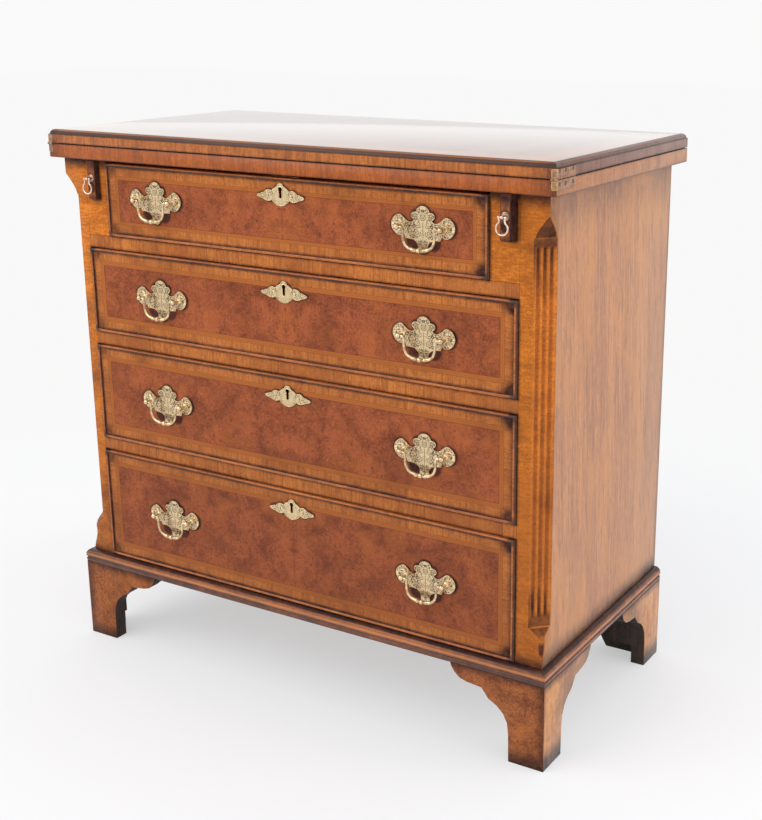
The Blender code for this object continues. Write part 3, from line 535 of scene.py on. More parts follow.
class Value:
    """What a shader node puts out. Arithmetic on it adds more nodes to the same sheet."""

    def __init__(self, sheet: NodeSheet, socket: bpy.types.NodeSocket) -> None:
        """Holds an output socket and the sheet that it belongs to."""
        self.sheet = sheet
        self.socket = socket

    def __add__(self, other: Term) -> Value:
        """Returns the sum."""
        return self.sheet.math("ADD", self, other)

    def __sub__(self, other: Term) -> Value:
        """Returns the difference."""
        return self.sheet.math("SUBTRACT", self, other)

    def __rsub__(self, other: Term) -> Value:
        """Returns the difference from a plain number."""
        return self.sheet.math("SUBTRACT", other, self)

    def __mul__(self, other: Term) -> Value:
        """Returns the product."""
        return self.sheet.math("MULTIPLY", self, other)

    def __truediv__(self, other: Term) -> Value:
        """Returns the quotient."""
        return self.sheet.math("DIVIDE", self, other)

    def __abs__(self) -> Value:
        """Returns the value without its sign."""
        return self.sheet.math("ABSOLUTE", self)

    def __gt__(self, other: Term) -> Value:
        """Returns 1 where the value is greater and 0 elsewhere."""
        return self.sheet.math("GREATER_THAN", self, other)

    def __lt__(self, other: Term) -> Value:
        """Returns 1 where the value is smaller and 0 elsewhere."""
        return self.sheet.math("LESS_THAN", self, other)

    def between(self, low: Term, high: Term) -> Value:
        """Returns 0 at low, 1 at high and a smooth step between them; low may be above high."""
        inputs = {"Value": self, "From Min": low, "From Max": high}
        return self.sheet.get("ShaderNodeMapRange", 0, inputs, interpolation_type="SMOOTHSTEP")

    def rise(self, start: Term, full: Term, strength: Term) -> Value:
        """Returns 0 at start and a strength at full, with a smooth step between them."""
        return self.between(start, full) * strength

    def split(self) -> tuple[Value, ...]:
        """Returns the three parts of a vector."""
        return tuple(self.sheet.outputs(self.sheet.add("ShaderNodeSeparateXYZ", {0: self})).values())

    def stretch(self, x: float, y: float, z: float) -> Value:
        """Returns a vector with each part multiplied."""
        return self.sheet.vector("MULTIPLY", self, (x, y, z))

    def length(self) -> Value:
        """Returns the length of a vector."""
        return self.sheet.get("ShaderNodeVectorMath", "Value", {0: self}, operation="LENGTH")


class NodeSheet:
    """Short calls that add and join shader nodes in one tree."""

    def __init__(self, tree: bpy.types.NodeTree) -> None:
        """Works on a node tree."""
        self.tree = tree

    def feed(self, socket: bpy.types.NodeSocket, value: Term) -> None:
        """Joins a socket to a value, or sets it."""
        if isinstance(value, Value):
            self.tree.links.new(value.socket, socket)
        elif isinstance(value, tuple) and socket.type == "RGBA":
            socket.default_value = (*value, 1.0)
        else:
            socket.default_value = value

    def add(self, kind: str, inputs: dict[Union[int, str], Term], **settings: object) -> bpy.types.Node:
        """Adds a node.

        Args:
            kind: The node's type.
            inputs: What its inputs take, by number or name.
            settings: Its properties, which are set before the inputs.

        Returns:
            The node.
        """
        node = self.tree.nodes.new(kind)
        for name, value in settings.items():
            setattr(node, name, value)
        for key, value in inputs.items():
            self.feed(node.inputs[key], value)
        return node

    def get(
        self, kind: str, output: Union[int, str], inputs: dict[Union[int, str], Term], **settings: object
    ) -> Value:
        """Adds a node and returns one of its outputs, given by number or name."""
        return Value(self, self.add(kind, inputs, **settings).outputs[output])

    def outputs(self, node: bpy.types.Node) -> dict[str, Value]:
        """Returns a node's outputs by name."""
        return {socket.name: Value(self, socket) for socket in node.outputs}

    def math(self, operation: str, a: Term, b: Term = 0.0, clamp: bool = False) -> Value:
        """Returns the result of a Math node."""
        return self.get("ShaderNodeMath", 0, {0: a, 1: b}, operation=operation, use_clamp=clamp)

    def vector(self, operation: str, a: Term, b: Term) -> Value:
        """Returns the result of a Vector Math node with two inputs."""
        return self.get("ShaderNodeVectorMath", "Vector", {0: a, 1: b}, operation=operation)

    def combine(self, x: Term, y: Term, z: Term) -> Value:
        """Returns a vector of three values."""
        return self.get("ShaderNodeCombineXYZ", 0, {0: x, 1: y, 2: z})

    def noise(
        self, vector: Term, scale: Term, detail: float = 3.0, roughness: float = 0.55, distortion: float = 0.0
    ) -> Value:
        """Returns the value of a Noise Texture."""
        inputs = {
            "Vector": vector, "Scale": scale, "Detail": detail, "Roughness": roughness, "Distortion": distortion,
        }
        return self.get("ShaderNodeTexNoise", "Fac", inputs)

    def cells(self, vector: Term, scale: float) -> dict[str, Value]:
        """Returns the Distance, Color and Position of a cell pattern."""
        node = self.add("ShaderNodeTexVoronoi", {"Vector": vector, "Scale": scale}, feature="F1")
        return self.outputs(node)

    def largest(self, *values: Term) -> Value:
        """Returns the largest of several values."""
        return reduce(partial(self.math, "MAXIMUM"), values)

    def smallest(self, *values: Term) -> Value:
        """Returns the smallest of several values."""
        return reduce(partial(self.math, "MINIMUM"), values)

    def blend(self, factor: Term, a: Term, b: Term) -> Value:
        """Returns colour a where the factor is 0, colour b where it is 1 and a mix between."""
        return self.get("ShaderNodeMix", 2, {0: factor, 6: a, 7: b}, data_type="RGBA")

    def pick(self, factor: Term, a: Term, b: Term) -> Value:
        """Returns number a where the factor is 0 and b where it is 1."""
        return self.get("ShaderNodeMix", 0, {0: factor, 2: a, 3: b}, data_type="FLOAT")

    def chance(self, seed: Term) -> Value:
        """Returns a random number for each value of a seed vector."""
        return self.get("ShaderNodeTexWhiteNoise", "Value", {"Vector": seed}, noise_dimensions="3D")

    def group(self, tree: bpy.types.NodeTree, **values: Term) -> dict[str, Value]:
        """Adds a group node; each value's name is its socket's, with _ for a space."""
        inputs = {name.replace("_", " "): value for name, value in values.items()}
        return self.outputs(self.add("ShaderNodeGroup", inputs, node_tree=tree))


class GroupSheet(NodeSheet):
    """A new node group with named inputs and outputs."""

    def __init__(self, name: str, inputs: dict[str, str], outputs: dict[str, str]) -> None:
        """Makes the group.

        Args:
            name: The group's name.
            inputs: The kind of each input by name: Float, Vector or Color.
            outputs: The kind of each output by name.
        """
        super().__init__(bpy.data.node_groups.new(name, "ShaderNodeTree"))
        for in_out, sockets in (("INPUT", inputs), ("OUTPUT", outputs)):
            for socket, kind in sockets.items():
                self.tree.interface.new_socket(socket, in_out=in_out, socket_type=f"NodeSocket{kind}")
        source = self.add("NodeGroupInput", {}).outputs
        self.given = [Value(self, source[socket]) for socket in inputs]
        self.target = self.add("NodeGroupOutput", {}).inputs

    def put(self, **values: Term) -> bpy.types.NodeTree:
        """Feeds the group's outputs and returns its tree."""
        for name, value in values.items():
            self.feed(self.target[name], value)
        return self.tree


class FinishGroups:
    """The node groups that more than one finish uses."""

    def __init__(self) -> None:
        """Builds every group once."""
        self.grain = self.make_grain()
        self.burr = self.make_burr()
        self.panel = self.make_panel()
        self.banding = self.make_banding()
        self.antique_and_shade = self.make_antique_and_shade()
        self.opening = self.make_opening()
        self.round_handle = self.make_halo("round_handle", (
            (36.0, 1.0, 11.6), (0.0, 17.0, 9.6), (11.0, 14.0, 6.0), (0.0, 0.0, 15.0), (15.0, -6.0, 11.5),
            (0.0, -23.0, 9.6), (14.0, -19.0, 9.0),
        ))
        self.round_keyhole = self.make_halo("round_keyhole", (
            (0.0, 2.0, 13.2), (19.5, 0.3, 8.0), (30.5, 0.0, 3.8), (36.0, 0.0, 2.0),
        ))

    @staticmethod
    def make_grain() -> bpy.types.NodeTree:
        """Builds straight grain that runs along the vector's Z, with fibres, soft figure and short pores.

        Returns:
            The group.
        """
        sheet = GroupSheet(
            "straight_grain",
            {"Vector": "Vector", "Light": "Color", "Dark": "Color", "Fineness": "Float", "Figure": "Float"},
            {"Color": "Color", "Height": "Float"},
        )
        vector, light, dark, fineness, figure = sheet.given
        fibres = sheet.noise(vector.stretch(1.0, 1.0, 0.09), fineness, 4.0, 0.60, 0.15)
        pores = sheet.noise(vector.stretch(1.0, 1.0, 0.13), fineness * 3.2)
        clouds = sheet.noise(vector.stretch(1.0, 1.0, 0.16), figure, 3.0, 0.55, 0.5)
        mottle = sheet.noise(vector, fineness * 0.55, 4.0, 0.72)
        tone = fibres * 0.40 + clouds * 0.30 + mottle * 0.30
        colour = sheet.blend(tone.between(0.40, 0.60), light, dark)
        pits = pores.between(0.55, 0.68)
        return sheet.put(Color=sheet.blend(pits * 0.32, colour, PORE), Height=1.0 - pits)

    @staticmethod
    def make_burr() -> bpy.types.NodeTree:
        """Builds burr figure: soft clouds, faint curls, fine mottle, flecks and scattered dark knots.

        Returns:
            The group.
        """
        sheet = GroupSheet(
            "burr_figure", {"Vector": "Vector", "Light": "Color", "Dark": "Color", "Eye": "Color"},
            {"Color": "Color", "Height": "Float"},
        )
        vector, light, dark, eye = sheet.given
        warp = sheet.get("ShaderNodeTexNoise", "Color", {"Vector": vector, "Scale": 20.0, "Detail": 3.0})
        bent = sheet.vector("ADD", vector, warp.stretch(0.024, 0.024, 0.024))
        clouds = sheet.noise(bent, 26.0, 5.0, 0.68, 0.3)
        curls = sheet.math("SINE", sheet.noise(bent, 40.0, 2.0, 0.5, 0.3) * 46.0)
        mottle = sheet.noise(vector, 330.0, 4.0, 0.7)
        tone = clouds * 0.56 + curls * 0.018 + mottle * 0.44
        colour = sheet.blend(tone.between(0.36, 0.66), light, dark)
        glow = sheet.noise(vector, 15.0, 3.0, 0.6).rise(0.50, 0.68, 0.34)
        colour = sheet.blend(glow, colour, BURR_GLOW)
        dots = [sheet.noise(bent, 520.0, 3.0, 0.6).rise(0.58, 0.70, 0.45)]
        for scale, rarity, radius, strength in ((25.0, 0.80, 0.13, 0.72), (95.0, 0.62, 0.26, 0.5)):
            cells = sheet.cells(bent, scale)
            chosen = cells["Color"].split()[0] > rarity
            dots.append(cells["Distance"].rise(radius, radius * 0.35, strength) * chosen)
        eyes = sheet.largest(*dots)
        return sheet.put(Color=sheet.blend(eyes, colour, eye), Height=1.0 - eyes)

    @staticmethod
    def make_panel() -> bpy.types.NodeTree:
        """Builds the distances inside a rectangle about the origin of the vector's X and Y.

        Returns:
            The group.
        """
        sheet = GroupSheet(
            "panel_distances", {"Vector": "Vector", "Half Width": "Float", "Half Height": "Float"},
            {"Distance": "Float", "Along": "Float", "Upright": "Float", "Corner": "Float"},
        )
        vector, half_width, half_height = sheet.given
        x, y, _ = vector.split()
        side, end = half_width - abs(x), half_height - abs(y)
        upright = side < end
        reach = 28 * MM
        corner = sheet.largest(reach - side, 0.0) * sheet.largest(reach - end, 0.0) / (reach * reach)
        return sheet.put(
            Distance=sheet.smallest(side, end), Along=sheet.pick(upright, x, y), Upright=upright, Corner=corner
        )

    def make_banding(self) -> bpy.types.NodeTree:
        """Builds a crossbanded border with a feather band inside it, round a field of another veneer.

        Returns:
            The group.
        """
        sheet = GroupSheet(
            "banding",
            {
                "Vector": "Vector", "Half Width": "Float", "Half Height": "Float", "Cross Width": "Float",
                "Feather Width": "Float", "Field": "Color", "Light": "Color", "Dark": "Color",
            },
            {"Color": "Color", "Distance": "Float", "Corner": "Float"},
        )
        vector, half_width, half_height, cross, feather, field_colour, light, dark = sheet.given
        panel = sheet.group(self.panel, Vector=vector, Half_Width=half_width, Half_Height=half_height)
        distance, along, upright = panel["Distance"], panel["Along"], panel["Upright"]
        leaf = sheet.math("FLOOR", along / CROSSBAND_PIECE)
        chance = sheet.chance(sheet.combine(leaf, upright, 0.0))
        across = sheet.combine(along, chance * 7.0, distance)
        grain = sheet.group(self.grain, Vector=across, Light=light, Dark=dark, Fineness=540.0, Figure=55.0)
        banded = sheet.blend(chance * 0.50, grain["Color"], dark)
        slant = abs(distance - (cross + feather * 0.5))
        ticks = sheet.math("FRACT", (along + slant) / FEATHER_PITCH)
        feathered = sheet.blend(ticks.rise(0.35, 0.65, 0.45), FEATHER_LIGHT, FEATHER_DARK)
        feathered = sheet.blend(slant.rise(0.0005, 0.0001, 0.25), feathered, FEATHER_SPINE)
        inner = cross + feather
        colour = sheet.blend(distance > cross, banded, feathered)
        colour = sheet.blend(distance > inner, colour, field_colour)
        for edge, strength in ((cross, 0.35), (inner, 0.6)):
            colour = sheet.blend(abs(distance - edge).rise(0.0008, 0.0002, strength), colour, BAND_JOINT)
        return sheet.put(Color=colour, Distance=distance, Corner=panel["Corner"])

    @staticmethod
    def make_antique_and_shade() -> bpy.types.NodeTree:
        """Builds a surface with age and painted shade: broad patina, fine specks, and a dark mask of grime and
        painted shade broken up by a rubbed pattern.

        Returns:
            The group.
        """
        sheet = GroupSheet(
            "antiquing", {"Color": "Color", "Vector": "Vector", "Shade": "Float", "Patina": "Float"},
            {"Color": "Color"},
        )
        colour, vector, shade, patina = sheet.given
        broad = sheet.noise(vector, 12.0, 4.0, 0.62).rise(0.46, 0.72, patina)
        specks = sheet.noise(vector, 620.0, 3.0, 0.7).rise(0.46, 0.72, 0.42)
        worn = sheet.blend(sheet.largest(broad, specks), colour, OLD_WAX)
        # The Shade input holds painted shade in corners, recesses and under overhangs as well as grime.
        rub = sheet.noise(vector, 130.0, 4.0, 0.68) * 0.55 + sheet.noise(vector, 24.0, 2.0) * 0.45
        swing = (rub - 0.5) * 3.4 * (shade * (1.25 - shade))
        mask = sheet.math("ADD", shade, swing, clamp=True)
        return sheet.put(Color=sheet.blend(mask, worn, JOINT_GRIME_AND_SHADE))

    @staticmethod
    def make_halo(name: str, circles: Sequence[tuple[float, float, float]]) -> bpy.types.NodeTree:
        """Builds the distance outside a plate that is mirrored about the vector's X and roughly made of circles.

        Args:
            name: The group's name.
            circles: The x, z and radius of each circle in millimetres.

        Returns:
            The group.
        """
        sheet = GroupSheet(name, {"Vector": "Vector"}, {"Distance": "Float"})
        x, y, _ = sheet.given[0].split()
        across = abs(x)
        return sheet.put(Distance=sheet.smallest(*(
            sheet.combine(across - place_x * MM, y - place_z * MM, 0.0).length() - radius * MM
            for place_x, place_z, radius in circles
        )))

    @staticmethod
    def make_opening() -> bpy.types.NodeTree:
        """Builds the distance outside a rectangle about a centre, in the vector's X and Z.

        Returns:
            The group.
        """
        sheet = GroupSheet(
            "opening_distance",
            {"Vector": "Vector", "Centre": "Vector", "Half Width": "Float", "Half Height": "Float"},
            {"Distance": "Float"},
        )
        vector, centre, half_width, half_height = sheet.given
        x, _, z = sheet.vector("SUBTRACT", vector, centre).split()
        out_x, out_z = sheet.largest(abs(x) - half_width, 0.0), sheet.largest(abs(z) - half_height, 0.0)
        return sheet.put(Distance=sheet.combine(out_x, out_z, 0.0).length())


@dataclass(frozen=True)
class Polish:
    """How a surface takes the light."""

    roughness: float
    specular: float = 0.5
    coat: float = 0.0
    metallic: float = 0.0


FRONT_POLISH = Polish(0.30, specular=0.06)
END_POLISH = Polish(0.34, specular=0.42, coat=0.05)
MOULDED_POLISH = Polish(0.24, specular=0.40)
TABLE_POLISH = Polish(0.10, specular=0.8, coat=1.0)
INSIDE_POLISH = Polish(0.40, specular=0.30)
EDGE_POLISH = Polish(0.28, specular=0.25)
RAW = Polish(0.70, specular=0.25)


class Finish(NodeSheet):
    """One material: a Principled shader with its position and polish already in place."""

    def __init__(self, name: str, polish: Polish) -> None:
        """Makes the material.

        Args:
            name: The material's name.
            polish: How it takes the light.
        """
        self.material = bpy.data.materials.new(name)
        self.material.use_nodes = True
        super().__init__(self.material.node_tree)
        self.shader = self.tree.nodes["Principled BSDF"]
        for socket, value in (
            ("Roughness", polish.roughness), ("Metallic", polish.metallic), ("Coat Weight", polish.coat),
            ("Coat Roughness", 0.12), ("Specular IOR Level", polish.specular),
        ):
            self.shader.inputs[socket].default_value = value
        self.position = self.get("ShaderNodeTexCoord", "Object", {})

    def colour(self, value: Term) -> None:
        """Feeds the base colour."""
        self.feed(self.shader.inputs["Base Color"], value)

    def rough(self, value: Term) -> None:
        """Feeds the roughness."""
        self.feed(self.shader.inputs["Roughness"], value)

    def relief(self, height: Term, depth: float, strength: float) -> Material:
        """Feeds the normal from a height and its real depth, and returns the material.

        Args:
            height: The height, from 0 to 1.
            depth: The depth that it stands for.
            strength: The effect.

        Returns:
            The material.
        """
        bump = self.get("ShaderNodeBump", "Normal", {"Strength": strength, "Distance": depth, "Height": height})
        self.feed(self.shader.inputs["Normal"], bump)
        return self.material

    def along(self, axis: Axis) -> Value:
        """Returns the position turned so that the grain's axis is the vector's Z.

        Args:
            axis: The grain's axis.

        Returns:
            The turned position.
        """
        x, y, z = self.position.split()
        orders = {Axis.ACROSS: (z, y, x), Axis.DEPTH: (x, z, y), Axis.UPRIGHT: (x, y, z)}
        return self.combine(*orders[axis])


@dataclass(frozen=True)
class ChestPlan:
    """The places of the chest's main boards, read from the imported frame."""

    front_y: float
    back_y: float
    half_width: float
    leaf_low: float
    leaf_joint: float
    top_z: float
    floor_z: float
    moulding_z: float
    leaf_half: float
    leaf_front: float
    leaf_back: float
    foot_half: float
    foot_front: float

    @classmethod
    def from_frame(cls) -> ChestPlan:
        """Measures the CAD nodes.

        Returns:
            The plan.
        """
        post_low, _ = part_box("corner_post_right")
        _, side_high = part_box("side_panel_right")
        lower_low, lower_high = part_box("lower_leaf")
        _, upper_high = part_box("upper_leaf")
        moulding_low, moulding_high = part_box("base_moulding")
        foot_low, foot_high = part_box("foot_front_right")
        return cls(
            front_y=post_low[1], back_y=side_high[1], half_width=side_high[0], leaf_low=lower_low[2],
            leaf_joint=lower_high[2], top_z=upper_high[2], floor_z=moulding_high[2],
            moulding_z=moulding_low[2], leaf_half=lower_high[0], leaf_front=lower_low[1],
            leaf_back=lower_high[1], foot_half=foot_high[0], foot_front=foot_low[1],
        )


@dataclass(frozen=True)
class Place:
    """The box that a drawer front or a loper fills, with the drawer's number."""

    low: Point
    high: Point
    number: int = 0

    @classmethod
    def of(cls, node: str, number: int = 0) -> Place:
        """Measures a CAD node."""
        low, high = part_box(node)
        return cls(tuple(low), tuple(high), number)

    @property
    def centre(self) -> Point:
        """Returns the middle of the box."""
        return tuple((a + b) / 2 for a, b in zip(self.low, self.high))

    @property
    def half_width(self) -> float:
        """Returns half the box's width."""
        return (self.high[0] - self.low[0]) / 2

    @property
    def half_height(self) -> float:
        """Returns half the box's height."""
        return (self.high[2] - self.low[2]) / 2


@dataclass(frozen=True)
class WoodTones:
    """The light and dark of one timber."""

    light: Colour
    dark: Colour


CROSS_TONES = WoodTones((0.63, 0.210, 0.050), (0.33, 0.100, 0.029))
RAIL_TONES = WoodTones((0.64, 0.217, 0.050), (0.35, 0.106, 0.030))
STILE_TONES = WoodTones((0.78, 0.236, 0.030), (0.43, 0.122, 0.018))
SIDE_TONES = WoodTones((0.61, 0.265, 0.106), (0.38, 0.162, 0.080))
BURR_TONES = WoodTones((0.435, 0.115, 0.043), (0.172, 0.045, 0.021))
FOOT_TONES = WoodTones((0.43, 0.145, 0.050), (0.145, 0.045, 0.022))
FLANK_TONES = WoodTones((0.70, 0.315, 0.115), (0.42, 0.175, 0.072))
BEAD_TONES = WoodTones((0.56, 0.165, 0.032), (0.30, 0.078, 0.020))
MOULDING_TONES = WoodTones((0.38, 0.112, 0.031), (0.15, 0.043, 0.017))
TABLE_TONES = WoodTones((0.36, 0.135, 0.045), (0.17, 0.055, 0.022))
UPPER_EDGE_TONES = WoodTones((0.60, 0.190, 0.040), (0.34, 0.098, 0.023))
LOWER_EDGE_TONES = WoodTones((0.48, 0.116, 0.017), (0.29, 0.070, 0.012))
UPPER_END_TONES = WoodTones((0.30, 0.150, 0.105), (0.175, 0.082, 0.058))
LOWER_END_TONES = WoodTones((0.53, 0.230, 0.100), (0.34, 0.145, 0.065))
OAK_TONES = WoodTones((0.53, 0.335, 0.165), (0.38, 0.225, 0.105))
BOARD_TONES = WoodTones((0.20, 0.115, 0.060), (0.11, 0.060, 0.032))
# Near-black for the insides of the feet, standing for staining and the shade inside them.
STAIN_AND_SHADE_TONES = WoodTones((0.050, 0.032, 0.026), (0.016, 0.011, 0.011))
# Near-black of dark joints, grime and painted shade.
JOINT_GRIME_AND_SHADE: Colour = (0.022, 0.012, 0.014)
PORE: Colour = (0.10, 0.034, 0.014)
EYE: Colour = (0.090, 0.026, 0.014)
BURR_GLOW: Colour = (0.52, 0.155, 0.036)
FEATHER_LIGHT: Colour = (0.47, 0.145, 0.034)
FEATHER_DARK: Colour = (0.29, 0.080, 0.022)
FEATHER_SPINE: Colour = (0.14, 0.040, 0.016)
BAND_JOINT: Colour = (0.17, 0.040, 0.015)
OLD_WAX: Colour = (0.085, 0.026, 0.014)
# Painted shade that browns the fronts towards the floor.
LOW_SHADE_BROWN: Colour = (0.10, 0.040, 0.030)
# Painted light on the canted corners.
CANT_PAINTED_LIGHT: Colour = (0.95, 0.30, 0.08)
# Painted shade on the upper leaf's moulding.
QUIRK_SHADE_BLACK: Colour = (0.040, 0.019, 0.017)
END_GOLD: Colour = (0.60, 0.255, 0.078)
# Paler and greyer tone towards the back of the ends.
END_PALER_BACK: Colour = (0.50, 0.295, 0.185)
END_LINE: Colour = (0.17, 0.075, 0.045)
# Painted highlight on the base moulding's bead.
CREST_PAINTED_HIGHLIGHT: Colour = (0.74, 0.30, 0.095)
LOPER_BROWN: Colour = (0.20, 0.070, 0.040)
# Grime and painted shade in engraved lines, slots and hollows.
DIRT_AND_SHADE_DARK: Colour = (0.055, 0.035, 0.020)
DIRT_AND_SHADE_LIGHT: Colour = (0.10, 0.066, 0.038)
CROSSBAND_PIECE = 0.094
FEATHER_PITCH = 0.0034
FINE_GRAIN_DEPTH = 0.06 * MM
LEDGE_MARGIN = 1.2 * MM


@dataclass(frozen=True)
class Facing:
    """A cross-grained facing that is laid in short pieces."""

    name: str
    axis: Axis
    piece: float
    tones: WoodTones
    stretch: float
    seam: float
    patina: float


RAIL_FACING = Facing("rail_facing", Axis.UPRIGHT, 0.118, RAIL_TONES, stretch=1.0, seam=0.5, patina=0.34)
STILE_FACING = Facing("stile_facing", Axis.ACROSS, 0.142, STILE_TONES, stretch=2.2, seam=0.1, patina=0.62)


@dataclass(frozen=True)
class Leaf:
    """One leaf of the top: its levels, the height of its moulding and the timber of its edges."""

    node: str
    body: str
    low: float
    high: float
    moulded: float
    front_tones: WoodTones
    end_tones: WoodTones


@dataclass(frozen=True)
class CarvedCorner:
    """The heights and depths of the canted corner's carving."""

    setback: float
    top_ledge: float
    bottom_ledge: float
    hollow: float
    flute_top: float
    flute_foot: float

    @classmethod
    def from_plan(cls, plan: ChestPlan) -> CarvedCorner:
        """Works the places out from the carcase's own levels."""
        return cls(
            setback=22.2 * MM, top_ledge=plan.leaf_low - 54.5 * MM, bottom_ledge=plan.floor_z + 53.7 * MM,
            hollow=plan.floor_z + 25 * MM, flute_top=plan.leaf_low - 63.5 * MM,
            flute_foot=plan.floor_z + 66 * MM,
        )

    @property
    def depth(self) -> float:
        """Returns how far the cant lies inside the square corner."""
        return self.setback / math.sqrt(2)


@dataclass
class WoodRoom:
    """Makes every wooden finish."""

    groups: FinishGroups
    plan: ChestPlan
    drawers: list[Place]
    cross_width: float = 13.2 * MM
    feather_width: float = 6.6 * MM
    top_feather_width: float = 5.0 * MM
    leaf_edge_width: float = 7.5 * MM
    leaf_cross_width: float = 30 * MM
    leaf_feather_width: float = 8 * MM
    dovetail_pitch: float = 34 * MM
    dovetail_lap: float = 4 * MM
    rose_drop: float = 26.5 * MM
    loop_drop: float = 12.5 * MM

    def grain(
        self, finish: Finish, vector: Term, tones: WoodTones, fineness: float, figure: float
    ) -> dict[str, Value]:
        """Adds straight grain to a finish and returns its Color and Height."""
        return finish.group(
            self.groups.grain, Vector=vector, Light=tones.light, Dark=tones.dark, Fineness=fineness, Figure=figure
        )

    def burr(self, finish: Finish, vector: Term, tones: WoodTones) -> dict[str, Value]:
        """Adds burr figure to a finish and returns its Color and Height."""
        return finish.group(self.groups.burr, Vector=vector, Light=tones.light, Dark=tones.dark, Eye=EYE)

    def aged_and_shaded(self, finish: Finish, colour: Term, *shades: Term, patina: float = 0.34) -> Material:
        """Darkens a colour with the strongest of several shades of painted shade and grime, feeds it and returns
        the material.

        Args:
            finish: The finish to add it to.
            colour: The clean colour.
            shades: The shades: painted shade in corners, recesses and under overhangs, and grime.
            patina: How far broad patina covers it.

        Returns:
            The material.
        """
        shade = finish.largest(*shades)
        darkened = finish.group(self.groups.antique_and_shade, Color=colour, Vector=finish.position, Shade=shade, Patina=patina)
        finish.colour(darkened["Color"])
        return finish.material

    def low_light(self, finish: Finish, colour: Term, z: Value) -> Value:
        """Returns a front's colour, browner towards the floor as painted shade where less light falls."""
        return finish.blend(z.rise(0.66, self.plan.floor_z, 0.24), colour, LOW_SHADE_BROWN)

    def drawer_veneer(self, place: Place, bead: float, handle: Point, lock_z: float) -> Material:
        """Makes the burr field, feather band and crossband of one drawer front, with painted shade and grime at
        its edges and corners and a painted shadow round its brasses.

        Args:
            place: The drawer front's place.
            bead: The width of the bead round it.
            handle: The middle of its right handle plate.
            lock_z: The height of its keyhole plate.

        Returns:
            The material.
        """
        finish = Finish(f"drawer_veneer_{place.number}", FRONT_POLISH)
        x, _, z = finish.position.split()
        across = abs(x)
        half_width, half_height = place.half_width - bead, place.half_height - bead
        burr = self.burr(finish, finish.combine(across, place.number * 0.37, z), BURR_TONES)
        band = finish.group(
            self.groups.banding, Vector=finish.combine(x, z - place.centre[2], 0.0), Half_Width=half_width,
            Half_Height=half_height, Cross_Width=self.cross_width,
            Feather_Width=self.top_feather_width if place.number == 1 else self.feather_width,
            Field=finish.blend(across.rise(0.0007, 0.0002, 0.3), burr["Color"], JOINT_GRIME_AND_SHADE),
            Light=CROSS_TONES.light, Dark=CROSS_TONES.dark,
        )
        from_handle = finish.combine(abs(across - handle[0]), z - handle[2], 0.0)
        round_handle = finish.group(self.groups.round_handle, Vector=from_handle)
        round_keyhole = finish.group(self.groups.round_keyhole, Vector=finish.combine(x, z - lock_z, 0.0))
        # Painted shade and grime along the bead, at the right edge and corners, and a painted shadow round the
        # handle and keyhole plates.
        self.aged_and_shaded(
            finish, self.low_light(finish, band["Color"], z),
            band["Distance"].rise(0.0044, 0.0004, 0.66), (half_width - x).rise(0.0085, 0.0008, 0.5),
            band["Corner"].rise(0.10, 0.60, finish.pick(x > 0.0, 0.58, 0.90)),
            round_handle["Distance"].rise(0.0046, 0.0004, 0.80),
            round_keyhole["Distance"].rise(0.0038, 0.0002, 0.74),
        )
        return finish.relief(burr["Height"], FINE_GRAIN_DEPTH, 0.35)

    def bead(self) -> Material:
        """Makes the red-brown bead round the drawers, with painted shade on its inner side, its uprights and its
        corners.

        Returns:
            The material.
        """
        finish = Finish("cock_bead", MOULDED_POLISH)
        grain = self.grain(finish, finish.along(Axis.ACROSS), BEAD_TONES, 300.0, 30.0)
        x, _, z = finish.position.split()
        shades = []
        for place in self.drawers:
            middle = place.centre[2]
            panel = finish.group(
                self.groups.panel, Vector=finish.combine(x, z - middle, 0.0), Half_Width=place.half_width,
                Half_Height=place.half_height,
            )
            distance, upright = panel["Distance"], panel["Upright"]
            # Painted shade: the inner side of the bead, deeper on the top bead, the outer side of the uprights and
            # the corners.
            at_top = (z > middle) * (1.0 - upright)
            shade = finish.largest(
                finish.pick(at_top, distance.rise(0.0030, 0.0041, 0.8), distance.rise(0.0017, 0.0026, 0.9)),
                upright * distance.rise(0.0022, 0.0006, 0.72), panel["Corner"].rise(0.45, 0.75, 0.85),
            )
            shades.append(shade * (distance > -0.0005))
        return self.aged_and_shaded(finish, grain["Color"], *shades)

    def dovetails(self) -> Material:
        """Makes the ends of a drawer front: oak tails let into the walnut ground.

        Returns:
            The material.
        """
        finish = Finish("dovetailed_end", RAW)
        _, y, z = finish.position.split()
        ground = self.grain(finish, finish.along(Axis.ACROSS), BOARD_TONES, 190.0, 12.0)
        tails = self.grain(finish, finish.along(Axis.DEPTH), OAK_TONES, 190.0, 9.0)
        step = abs(finish.math("FRACT", z / self.dovetail_pitch) - 0.5)
        deep = y - (self.plan.front_y + self.dovetail_lap)
        width = 0.40 - deep * 6.0
        tail = (step < width) * (deep > 0.0)
        seam = abs(step - width).rise(0.025, 0.005, 0.6) * 0.8
        return self.aged_and_shaded(finish, finish.blend(tail, ground["Color"], tails["Color"]), seam)

